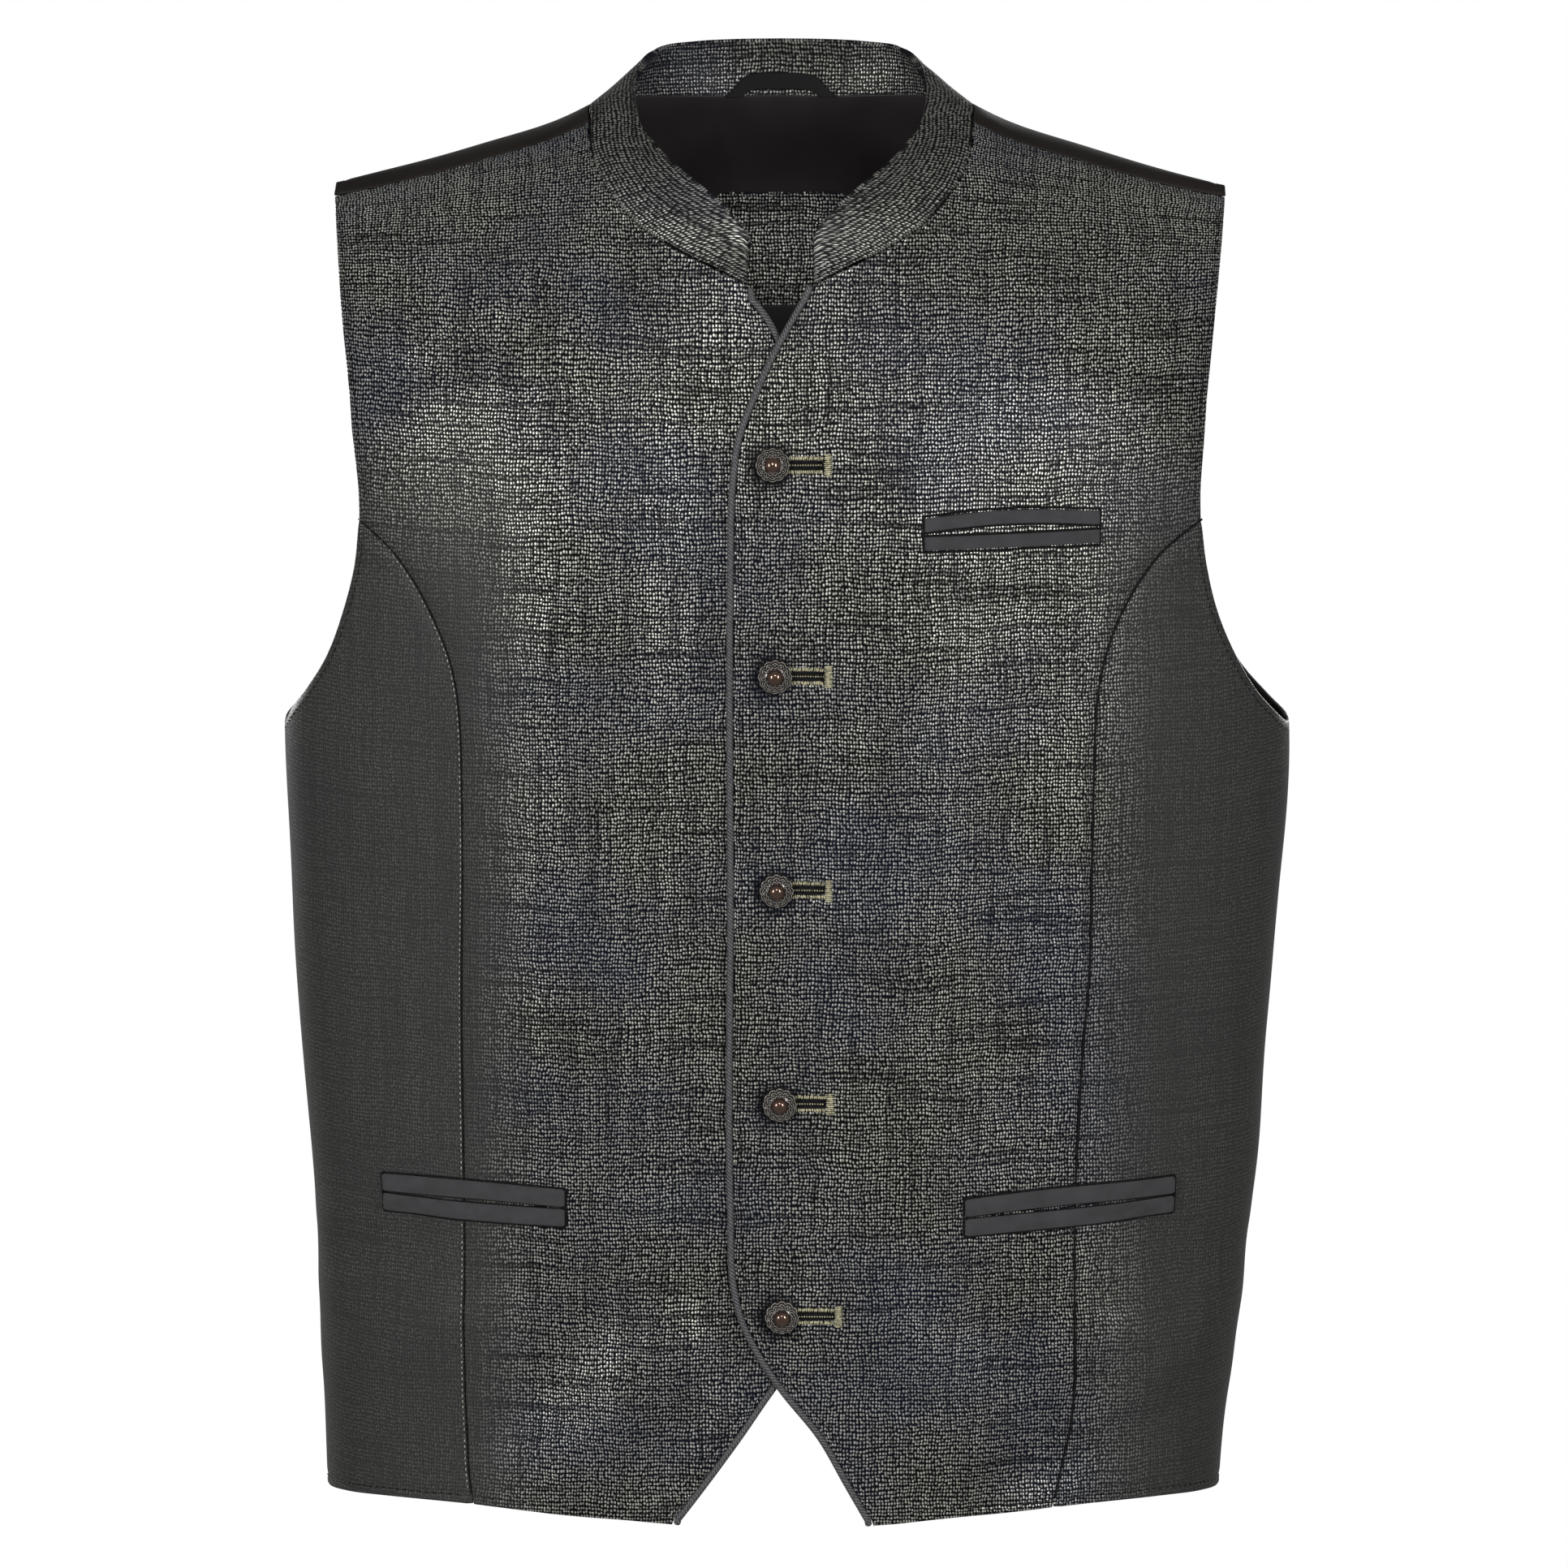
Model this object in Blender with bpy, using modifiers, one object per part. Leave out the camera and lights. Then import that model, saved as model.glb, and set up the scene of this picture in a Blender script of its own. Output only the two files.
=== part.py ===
"""A boys' stand-collar gilet, filled out and open at the neck, armholes and hem.

Sizes are in millimetres and are turned into metres where a mesh is made. +Z is up and the
front faces -Y, so the wearer's left is at +X. The origin is on the midline, between the two
points where the shoulders meet the collar.

The whole garment follows one form. A place on it is a pair: a turn round the body, which is 0
at the middle of the front or the back and 90 degrees at a side, and a fall, the way down from
the top of the shoulder. A fall below 0 goes over the shoulder to its other side.
"""
import math

import bmesh
import bpy
import numpy as np
from mathutils import Matrix, Vector

MM = 0.001

# Cloth, seams and trim
CLOTH = 1.8
COLLAR_CLOTH = 2.4
LINING_CLOTH = 1.0
PATCH_CLOTH = 0.9
TAPE_CLOTH = 0.9
WELT_CLOTH = 1.1
SEAM_GAP = 0.4
COLLAR_SEAM_GAP = 0.8
LAY_GAP = 0.35
PIPING_WIDTH = 2.6
PIPING_END_TRIM = 1.2
WELT_LIFT = 0.5

# The form under the cloth
SHOULDER_ROLL = 90.0
SECTION_POWER = 2.3
SEAM_FALL = -27.0

# Height, half width on each side, and depth before and behind the shoulder line
SECTION_COLUMNS = ("z", "right", "left", "front", "back")
SECTIONS = (
    (40, 140, 140, 36, 70),
    (0, 162, 162, 42, 71),
    (-33, 168.5, 168.5, 47, 72),
    (-60, 171, 171, 54, 74),
    (-100, 175.5, 176, 66, 78),
    (-150, 181, 182, 75, 79),
    (-190, 184.5, 187, 78, 76),
    (-235, 186.5, 191, 79, 72),
    (-300, 184, 187.5, 78.5, 66),
    (-350, 181, 183, 78, 64),
    (-400, 177, 179.5, 77.5, 66),
    (-450, 174.5, 174, 77, 70),
    (-490, 172.5, 169.5, 77, 74),
    (-528, 171, 166, 77.5, 77),
    (-545, 171, 165, 78, 78),
)

# Top line of the shoulders
SHOULDER_COLUMNS = ("x", "z")
SHOULDER = (
    (-25, 14.5),
    (0, 17),
    (25, 14.5),
    (50, 7.5),
    (66, 0.5),
    (81, -6.7),
    (113, -17.2),
    (142, -25.7),
    (168, -32),
    (200, -38),
)

# Finished front edges from the hem point to the collar: the left front lies on the right one
EDGE_COLUMNS = ("z", "left", "right")
EDGES = (
    (-528, 31.8, -38),
    (-513, 23.4, -26.9),
    (-496, 14, -14.8),
    (-476.5, -1.2, -1.2),
    (-465, -8.8, 7),
    (-450, -16.1, 14.8),
    (-435, -19.4, 18.2),
    (-410, -20.3, 19.3),
    (-290, -20.3, 19.3),
    (-164, -20.2, 19.2),
    (-134, -19.5, 18.4),
    (-116, -17.1, 15.8),
    (-100, -11.1, 10),
    (-87, -5.1, 4.2),
    (-71, 3.9, -4.2),
    (-61, 9.9, -12.6),
)

# Front neck seam from the collar's end to the shoulder seam
NECK_COLUMNS = ("x", "z")
FRONT_NECK = (
    (12.5, -61),
    (24.5, -55.5),
    (38.5, -49),
    (54, -39.5),
    (66, -26),
    (71, -14),
    (71.5, -6.3),
)

# Back neck seam from one shoulder seam, over the shoulder, to the middle
BACK_NECK_COLUMNS = ("x", "fall")
BACK_NECK = (
    (71.5, -27),
    (72, -10),
    (71.3, 6),
    (66, 25),
    (54, 43.5),
    (35, 58),
    (15, 65.5),
    (0, 67),
)

# Front armhole edges from the shoulder seam to the underarm
ARMHOLE_COLUMNS = ("z", "right", "left")
FRONT_ARMHOLE_TOP = (
    (-36, 166.5, 166.5),
    (-50, 165.6, 165.4),
    (-78, 163.8, 162.4),
    (-100, 161.5, 160),
    (-124, 159.3, 157.8),
    (-142, 157.6, 156.7),
    (-151, 157.4, 156.9),
)
FRONT_ARMHOLE_FOOT = (
    (-151, 157.4, 156.9),
    (-168, 158.9, 158.9),
    (-186, 163.3, 163),
    (-204, 170, 170.4),
    (-217.5, 177.6, 178),
    (-227.5, 183.7, 185.6),
    (-234.6, 186.5, 191),
)

# Back armhole edge from the underarm to the shoulder, as a share of the half width
BACK_ARMHOLE_COLUMNS = ("z", "share")
BACK_ARMHOLE = (
    (-234.6, 1.0),
    (-229, 0.962),
    (-221, 0.920),
    (-210, 0.883),
    (-196, 0.853),
    (-180, 0.829),
    (-160, 0.822),
    (-135, 0.834),
    (-110, 0.858),
    (-85, 0.890),
    (-60, 0.930),
    (-45, 0.960),
)
SHOULDER_TIP = 166.6
ARMHOLE_CREST = 12.0

# Curved seams that part each front from its side piece
PRINCESS_COLUMNS = ("z", "right", "left")
PRINCESS = (
    (-523.5, 115.8, 102.5),
    (-510, 117.4, 105.8),
    (-495, 118, 109),
    (-450, 118.3, 110),
    (-400, 118.5, 110.4),
    (-350, 119, 113),
    (-319, 119, 115.2),
    (-281, 118.6, 115.9),
    (-251, 118.7, 116.3),
    (-228, 118.9, 116.9),
    (-214, 120, 117.9),
    (-200, 122.8, 120.6),
    (-187, 128, 125),
    (-174, 135, 132),
    (-162, 144, 141.5),
    (-151, 157.4, 156.9),
)

# Hem height by the turn round the body, from the middle of the front to the middle of the back
HEM_COLUMNS = ("turn", "z")
HEM = (
    (0, -529),
    (10, -528.3),
    (17, -526.8),
    (26, -525.5),
    (40, -523.6),
    (56, -524),
    (72, -526),
    (90, -528),
    (105, -525.5),
    (130, -515),
    (155, -507.5),
    (180, -505),
)

# Folds of the fronts: middle, lean from level, length, half width, and height out of the form
FOLD_COLUMNS = ("x", "z", "lean", "length", "spread", "height")
FRONT_FOLDS = (
    (-82, -280, 91, 300, 26, 2.4),
    (-38, -300, 88, 260, 22, -1.2),
    (52, -270, 89, 280, 24, 2.2),
    (90, -300, 92, 200, 20, -1.0),
    (-62, -52, 60, 46, 9, -1.4),
    (-156, -421, 38, 46, 12, -2.2),
    (153, -424, -40, 52, 13, -2.4),
    (140, -474, 42, 84, 14, 2.2),
    (104, -506, 24, 90, 12, -1.6),
    (-58, -486, 56, 78, 15, 2.0),
    (-82, -474, 58, 70, 13, -1.4),
    (62, -480, -62, 70, 16, 1.6),
    (-140, -300, 80, 150, 18, -1.4),
    (146, -330, 99, 160, 18, -1.4),
)
BACK_FOLDS = (
    (-70, -300, 84, 260, 24, 2.4),
    (74, -310, 97, 240, 26, 2.2),
    (0, -380, 90, 220, 26, -2.2),
    (-120, -230, 62, 120, 16, -1.8),
    (118, -236, -60, 130, 16, -2.0),
    (-44, -120, 28, 90, 14, -1.2),
    (50, -128, -24, 96, 14, -1.3),
    (-96, -440, 48, 100, 16, 1.8),
    (104, -450, -52, 90, 16, 1.6),
)

# How far the right front sinks under the left one, and where that starts and is complete
UNDERLAP_SINK = 3.0
UNDERLAP_START = 34.0
UNDERLAP_FULL = 6.0

# Collar: top edge from the front end to the middle of the back, on the wearer's left
COLLAR_COLUMNS = ("x", "y", "z")
COLLAR_TOP = (
    (11.9, -52.3, -46.5),
    (12.7, -51.2, -40.8),
    (16.4, -50.3, -36.4),
    (27.5, -43.8, -27),
    (41.2, -33, -17),
    (49.6, -20, -8.8),
    (53.4, 0, 0.8),
    (53.2, 16, 6.2),
    (50.6, 29, 12),
    (45.5, 38, 14.6),
    (33, 44, 15.6),
    (16, 48, 16),
    (0, 49.3, 16),
)
COLLAR_TURN_SHARE = 0.42
COLLAR_BULGE = 1.4

# Pockets: ends of the slit, height of one welt, half gap at the ends, and bow of the welts
POCKET_COLUMNS = ("name", "x_inner", "z_inner", "x_outer", "z_outer", "welt", "gap", "bow")
POCKETS = (
    ("chest_pocket", 52.9, -151.3, 118, -150.6, 5.9, 0.35, 1.3),
    ("left_pocket", 68.6, -410.2, 147, -406.4, 6.7, 0.35, 0.9),
    ("right_pocket", -80, -406.3, -149.2, -406.2, 6.8, 0.35, 0.8),
)

# Buttons from the collar down, with the far end of each buttonhole
BUTTON_COLUMNS = ("z", "x", "hole_end")
BUTTONS = (
    (-125.8, -3.0, 16.2),
    (-204.0, -2.1, 16.4),
    (-284.7, -1.5, 16.4),
    (-366.0, -0.4, 17.0),
    (-447.3, 0.4, 20.2),
)
HOLE_HEIGHT = 3.0
HOLE_START = 1.8
HOLE_DEPTH = 10.8
BUTTON_STEPS = 16

# Outline of a button from its crown to its foot, heights above the left front's outside
BUTTON_PROFILE_COLUMNS = ("radius", "height")
BUTTON_PROFILE = (
    (0.0, 6.4),
    (2.3, 6.1),
    (4.2, 5.1),
    (5.6, 3.8),
    (6.5, 2.4),
    (6.5, 1.5),
    (5.9, 0.5),
    (1.1, 0.45),
    (1.1, -2.0),
    (1.9, -2.5),
    (0.0, -2.5),
)

# Back lining, the patch of suiting on it, and the size label that hangs from the patch
LINING_ROWS = 11
LINING_LIFT = 1.3
PATCH_LIFT = 0.6
LINING_TOP_FALL = 12.0
LINING_NECK_INSET = 3.0
PATCH_HALF_WIDTH = 25.8
PATCH_TOP = -43.0
PATCH_FOOT = -88.5
PATCH_CORNER = 5.0
PATCH_STEPS = 10
PATCH_ROWS = 4
LABEL_HALF_WIDTH = 7.3
LABEL_FOOT = -104.0
LABEL_CLOTH = 0.6
LABEL_ROWS = 3

# Hanger loop on the inside of the collar: its two edges from one foot to the middle
LOOP_COLUMNS = ("outer_side", "outer_rise", "inner_side", "inner_rise")
LOOP = (
    (19.0, 0.6, 12.8, 0.6),
    (17.0, 4.2, 11.8, 1.6),
    (14.6, 8.0, 9.4, 2.6),
    (8.0, 9.2, 5.0, 3.2),
    (0.0, 9.8, 0.0, 3.4),
)

# Grid sizes
PRINCESS_ROWS = 25
ARMHOLE_ROWS = 18
NECK_ROWS = 8
FRONT_COLUMNS = 10
SIDE_COLUMNS = 6
SHOULDER_STEPS = 5
EVENING_ROUNDS = 60
BACK_NECK_STEPS = 10
COLLAR_ROWS = 5
WELT_STEPS = 10
WELT_ROWS = 3
PIPING_RESOLUTION = 2

# Fine steps along a curve before it is divided evenly, and rounds that settle a place's height
EDGE_STEPS = 80
FINE_STEPS = 400
FORM_ROUNDS = 8

# What a radian of turn and a millimetre of fall count for when a curve is divided by length
TURN_SCALE = (120, 1)

SHARP_ANGLE = math.radians(50)
MERGE_DISTANCE = 0.00005

MATERIALS = {
    "suiting": ((0.105, 0.105, 0.100, 1.0), 0.80, 0.0),
    "back_satin": ((0.020, 0.017, 0.015, 1.0), 0.55, 0.0),
    "lining": ((0.012, 0.011, 0.012, 1.0), 0.50, 0.0),
    "piping": ((0.085, 0.085, 0.092, 1.0), 0.70, 0.0),
    "welt": ((0.055, 0.055, 0.060, 1.0), 0.85, 0.0),
    "tape": ((0.015, 0.015, 0.016, 1.0), 0.60, 0.0),
    "antique_metal": ((0.060, 0.052, 0.045, 1.0), 0.30, 0.95),
}


def column(table, columns, name):
    """One named column of a table as an array."""
    return np.array([row[columns.index(name)] for row in table], float)


def rows_of(table, columns):
    """Each row of a table with its values under their names."""
    return [dict(zip(columns, row)) for row in table]


def hermite(keys, values, at):
    """Smooth curve through the values: each stretch is a cubic with averaged end slopes."""
    slopes = np.gradient(values, keys, axis=0)
    at = np.clip(at, keys[0], keys[-1])
    index = np.clip(np.searchsorted(keys, at, side="right") - 1, 0, len(keys) - 2)
    step = keys[index + 1] - keys[index]
    part = (at - keys[index]) / step
    if values.ndim > 1:
        step = step[:, None]
        part = part[:, None]
    start = (1 + 2 * part) * (1 - part) ** 2
    leave = part * (1 - part) ** 2 * step
    end = part ** 2 * (3 - 2 * part)
    arrive = part ** 2 * (part - 1) * step
    return (start * values[index] + leave * slopes[index]
            + end * values[index + 1] + arrive * slopes[index + 1])


def read(table, columns, key, name, at):
    """Value of a column at some places of the key column, on a smooth curve."""
    keys = column(table, columns, key)
    values = column(table, columns, name)
    order = np.argsort(keys)
    at = np.asarray(at, float)
    return hermite(keys[order], values[order], at.ravel()).reshape(at.shape)


def along(points, count):
    """Evenly spread points on a smooth curve through the given ones, by their distance apart."""
    points = np.asarray(points, float)
    reach = np.concatenate(([0], np.cumsum(np.linalg.norm(np.diff(points, axis=0), axis=1))))
    return hermite(reach, points, np.linspace(0, reach[-1], count))


def joined(*curves):
    """Curves end to end, with the shared points kept once."""
    return np.concatenate([curves[0]] + [curve[1:] for curve in curves[1:]])


def drop_of(fall):
    """Height lost along a fall: a quarter turn over the shoulder, then straight down."""
    fall = np.abs(fall)
    quarter = SHOULDER_ROLL * math.pi / 2
    turned = SHOULDER_ROLL * (1 - np.cos(np.minimum(fall, quarter) / SHOULDER_ROLL))
    return turned + np.maximum(fall - quarter, 0)


def fall_of(drop):
    """Fall that loses a given height."""
    turned = SHOULDER_ROLL * np.arccos(1 - np.clip(drop, 0, SHOULDER_ROLL) / SHOULDER_ROLL)
    return turned + np.maximum(drop - SHOULDER_ROLL, 0)


def half_width(z, side):
    """Half width of the form at a height, on the side that the sign of side names."""
    right = read(SECTIONS, SECTION_COLUMNS, "z", "right", z)
    left = read(SECTIONS, SECTION_COLUMNS, "z", "left", z)
    return np.where(np.asarray(side) < 0, right, left)


def shoulder_top(x):
    """Height of the shoulder line."""
    return read(SHOULDER, SHOULDER_COLUMNS, "x", "z", np.abs(x))


def chart(x, z):
    """Turn and fall of a place that is known by its sideways distance and its height."""
    x = np.asarray(x, float)
    share = np.clip(np.abs(x) / half_width(z, x), 0, 1)
    turn = np.sign(x) * np.arcsin(share ** (SECTION_POWER / 2))
    return np.stack((turn, fall_of(shoulder_top(x) - z)), axis=-1)


def form(turn, fall, behind):
    """Point of the form: x by the section's width, z by the fall, y by the section's depth."""
    share = np.sign(turn) * np.abs(np.sin(turn)) ** (2 / SECTION_POWER)
    hold = np.abs(np.cos(turn)) ** (2 / SECTION_POWER)
    lost = drop_of(fall)
    z = -lost
    for _ in range(FORM_ROUNDS):
        x = share * half_width(z, share)
        z = shoulder_top(x) - lost
    lean = np.sin(np.minimum(np.abs(fall) / SHOULDER_ROLL, math.pi / 2))
    front = read(SECTIONS, SECTION_COLUMNS, "z", "front", z)
    back = read(SECTIONS, SECTION_COLUMNS, "z", "back", z)
    at_back = np.logical_and(behind, fall >= 0)
    y = np.where(at_back, back, -front) * hold * lean
    return np.stack((x, y, z), axis=-1)


def folds(table, x, z):
    """Height of the folds: each is a long soft ridge or trough that fades at its ends."""
    height = np.zeros_like(x)
    for fold in rows_of(table, FOLD_COLUMNS):
        slope = math.radians(fold["lean"])
        away_x = x - fold["x"]
        away_z = z - fold["z"]
        run = (away_x * math.cos(slope) + away_z * math.sin(slope)) / (fold["length"] / 2)
        across = (away_z * math.cos(slope) - away_x * math.sin(slope)) / fold["spread"]
        height += fold["height"] * np.exp(-across ** 2 - run ** 4)
    return height


def outward(turn, fall, behind):
    """Unit vectors that point out of the form."""
    step = 0.002
    reach = 0.25
    turn = np.clip(turn, -math.pi / 2 + step, math.pi / 2 - step)
    round_way = form(turn + step, fall, behind) - form(turn - step, fall, behind)
    down_way = form(turn, fall + reach, behind) - form(turn, fall - reach, behind)
    normal = np.cross(round_way, down_way)
    if not behind:
        normal = -normal
    return normal / np.linalg.norm(normal, axis=-1, keepdims=True)


def cloth(places, behind=False, out=0.0):
    """Points of the cloth at the given places: the form, its folds, and a distance outwards."""
    turn = places[..., 0]
    fall = places[..., 1]
    points = form(turn, fall, behind)
    table = BACK_FOLDS if behind else FRONT_FOLDS
    lift = folds(table, points[..., 0], points[..., 2]) + out
    return points + outward(turn, fall, behind) * lift[..., None]


def patch(first, last, foot, top):
    """Places of a four-sided piece, blended from its four edges."""
    rows = np.linspace(0, 1, len(first))[:, None, None]
    columns = np.linspace(0, 1, len(foot))[None, :, None]
    across = (1 - columns) * first[:, None] + columns * last[:, None]
    upward = (1 - rows) * foot[None] + rows * top[None]
    corners = ((1 - rows) * ((1 - columns) * foot[0] + columns * foot[-1])
               + rows * ((1 - columns) * top[0] + columns * top[-1]))
    return across + upward - corners


def evened(places):
    """The places with their edges held and the others eased until no row or column turns back.

    Each place moves to the mean of its neighbours along its row and its column. The two count
    by how far apart the lines across them lie, less a share for the lean between the two.
    """
    flat = places * TURN_SCALE
    for _ in range(EVENING_ROUNDS):
        across = (flat[1:-1, 2:] - flat[1:-1, :-2]) / 2
        upward = (flat[2:, 1:-1] - flat[:-2, 1:-1]) / 2
        lean = (flat[2:, 2:] - flat[2:, :-2] - flat[:-2, 2:] + flat[:-2, :-2]) / 4
        row_share = np.sum(upward ** 2, axis=-1, keepdims=True)
        column_share = np.sum(across ** 2, axis=-1, keepdims=True)
        lean_share = 2 * np.sum(across * upward, axis=-1, keepdims=True)
        flat[1:-1, 1:-1] = (row_share * (flat[1:-1, 2:] + flat[1:-1, :-2])
                            + column_share * (flat[2:, 1:-1] + flat[:-2, 1:-1])
                            - lean_share * lean) / (2 * (row_share + column_share))
    return flat / TURN_SCALE


def seam_allowed(points, gap=SEAM_GAP):
    """The piece drawn back from its edges by half a seam's gap."""
    points = points.copy()
    for edge, inner in ((0, 1), (-1, -2)):
        way = points[:, inner] - points[:, edge]
        points[:, edge] += way / np.linalg.norm(way, axis=-1, keepdims=True) * gap / 2
    for edge, inner in ((0, 1), (-1, -2)):
        way = points[inner] - points[edge]
        points[edge] += way / np.linalg.norm(way, axis=-1, keepdims=True) * gap / 2
    return points


def hem_height(turn, behind):
    """Height of the hem at a turn round the body."""
    degrees = np.abs(np.degrees(turn))
    return read(HEM, HEM_COLUMNS, "turn", "z", 180 - degrees if behind else degrees)


def hem_line(start, end, count, behind=False):
    """Places of the hem between two turns."""
    turn = np.linspace(start, end, count)
    z = hem_height(turn, behind)
    share = np.sign(turn) * np.abs(np.sin(turn)) ** (2 / SECTION_POWER)
    x = share * half_width(z, share)
    return np.stack((turn, fall_of(shoulder_top(x) - z)), axis=-1)


def inset(curve, distance):
    """A curve in the x and z plane moved sideways, to the right of its way along."""
    way = np.gradient(curve, axis=0)
    way /= np.linalg.norm(way, axis=1, keepdims=True)
    return curve + distance * np.stack((way[:, 1], -way[:, 0]), axis=1)


def edge_curve(name, distance):
    """A front edge from the hem to the collar, drawn back from the finished edge."""
    z = column(EDGES, EDGE_COLUMNS, "z")
    x = column(EDGES, EDGE_COLUMNS, name)
    curve = along(np.stack((x, z), axis=1), EDGE_STEPS)
    return inset(curve, distance if name == "left" else -distance)


def neck_curve(side):
    """Front neck seam in x and z."""
    x = side * column(FRONT_NECK, NECK_COLUMNS, "x")
    return np.stack((x, column(FRONT_NECK, NECK_COLUMNS, "z")), axis=1)


def armhole_curve(table, name, side):
    """Front armhole edge in x and z."""
    x = side * column(table, ARMHOLE_COLUMNS, name)
    return np.stack((x, column(table, ARMHOLE_COLUMNS, "z")), axis=1)


def charted(curve):
    """Turn and fall along a curve given in x and z."""
    return chart(curve[:, 0], curve[:, 1])


def princess_places(name, side):
    """Princess seam from the hem to the armhole."""
    x = side * column(PRINCESS, PRINCESS_COLUMNS, name)
    curve = np.stack((x, column(PRINCESS, PRINCESS_COLUMNS, "z")), axis=1)
    return charted(along(curve, PRINCESS_ROWS + 1))


def shoulder_places(side, count):
    """Shoulder seam from the neck to the tip, a little before the top of the shoulder."""
    neck_point = column(BACK_NECK, BACK_NECK_COLUMNS, "x")[0]
    x = side * np.linspace(neck_point, SHOULDER_TIP, count)
    lost = drop_of(SEAM_FALL)
    share = np.abs(x) / half_width(shoulder_top(x) - lost, x)
    turn = np.sign(x) * np.arcsin(share ** (SECTION_POWER / 2))
    return np.stack((turn, np.full(count, -SEAM_FALL)), axis=-1)


def front_places(name, side):
    """Places of a front: edge and neck, princess seam and armhole, hem, shoulder seam."""
    rows = PRINCESS_ROWS + ARMHOLE_ROWS
    shoulder = shoulder_places(side, FRONT_COLUMNS + 1)
    neck = charted(along(neck_curve(side), NECK_ROWS + 1))
    neck[-1] = shoulder[0]
    edge = charted(along(edge_curve(name, PIPING_WIDTH + LAY_GAP), rows - NECK_ROWS + 1))
    edge[-1] = neck[0]
    princess = princess_places(name, side)
    armhole = charted(along(armhole_curve(FRONT_ARMHOLE_TOP, name, side), ARMHOLE_ROWS + 1))[::-1]
    armhole[-1] = shoulder[-1]
    hem = hem_line(edge[0][0], princess[0][0], FRONT_COLUMNS + 1)
    edge[0] = hem[0]
    princess[0] = hem[-1]
    return patch(joined(edge, neck), joined(princess, armhole), hem, shoulder)


def side_places(name, side):
    """Places of a side piece: princess seam, side seam, hem, and the foot of the armhole."""
    princess = princess_places(name, side)
    foot = along(armhole_curve(FRONT_ARMHOLE_FOOT, name, side), EDGE_STEPS)
    armhole = along(charted(foot) * TURN_SCALE, SIDE_COLUMNS + 1) / TURN_SCALE
    armhole[-1] = underarm(side)
    hem = hem_line(princess[0][0], side * math.pi / 2, SIDE_COLUMNS + 1)
    princess[0] = hem[0]
    princess[-1] = armhole[0]
    return patch(princess, side_seam(side), hem, armhole)


def underarm(side):
    """Place where the side seam ends under the arm."""
    z = column(BACK_ARMHOLE, BACK_ARMHOLE_COLUMNS, "z")[0]
    return np.array((side * math.pi / 2, fall_of(shoulder_top(half_width(z, side)) - z)))


def side_seam(side):
    """Side seam from the hem to the underarm."""
    hem = hem_line(side * math.pi / 2, side * math.pi / 2, 1)[0]
    share = np.linspace(0, 1, PRINCESS_ROWS + 1)[:, None]
    return hem + (underarm(side) - hem) * share


def back_armhole(side):
    """Back armhole edge from the underarm, up the back and over the shoulder to its seam."""
    z = column(BACK_ARMHOLE, BACK_ARMHOLE_COLUMNS, "z")
    x = side * column(BACK_ARMHOLE, BACK_ARMHOLE_COLUMNS, "share") * half_width(z, side)
    rise = chart(x, z)
    rise[0] = underarm(side)
    tip = shoulder_places(side, 2)[-1]
    over = np.array(((tip[0], ARMHOLE_CREST), (tip[0], 0), (tip[0], SEAM_FALL)))
    return along(np.concatenate((rise, over)) * TURN_SCALE, ARMHOLE_ROWS + 1) / TURN_SCALE


def back_neck(side):
    """Back neck seam from a shoulder seam to the middle of the back."""
    x = side * column(BACK_NECK, BACK_NECK_COLUMNS, "x")
    fall = column(BACK_NECK, BACK_NECK_COLUMNS, "fall")
    curve = along(np.stack((x, fall), axis=1), BACK_NECK_STEPS // 2 + 1)
    z = shoulder_top(curve[:, 0]) - drop_of(curve[:, 1])
    share = np.abs(curve[:, 0]) / half_width(z, curve[:, 0])
    turn = np.sign(curve[:, 0]) * np.arcsin(share ** (SECTION_POWER / 2))
    return np.stack((turn, curve[:, 1]), axis=-1)


def back_top():
    """Upper edge of the back: shoulder seam, neck and shoulder seam."""
    shoulders = {}
    for side in (-1, 1):
        shoulders[side] = shoulder_places(side, SHOULDER_STEPS + 1) * (1, -1)
    neck = joined(back_neck(-1), back_neck(1)[::-1])
    neck[0] = shoulders[-1][0]
    neck[-1] = shoulders[1][0]
    return joined(shoulders[-1][::-1], neck, shoulders[1])


def back_places():
    """Places of the back, from the wearer's right side seam to the left one."""
    edges = {}
    for side in (-1, 1):
        edges[side] = joined(side_seam(side), back_armhole(side))
    top = back_top()
    hem = hem_line(-math.pi / 2, math.pi / 2, len(top), behind=True)
    hem[0] = edges[-1][0]
    hem[-1] = edges[1][0]
    top[0] = edges[-1][-1]
    top[-1] = edges[1][-1]
    return patch(edges[-1], edges[1], hem, top)


def underlap(points):
    """How far the right front is sunk at each point, because the left front lies on it."""
    edge = read(EDGES, EDGE_COLUMNS, "z", "left", points[..., 2])
    part = (points[..., 0] - edge + UNDERLAP_START) / (UNDERLAP_START - UNDERLAP_FULL)
    part = np.clip(part, 0, 1)
    return -UNDERLAP_SINK * part * part * (3 - 2 * part)


def front_cloth(places, side, out=0.0):
    """Points of a front, sunk where it is the right one and lies under the left one."""
    if side < 0:
        out = out + underlap(form(places[..., 0], places[..., 1], False))
    return cloth(places, False, out + np.zeros(places.shape[:-1]))


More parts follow.
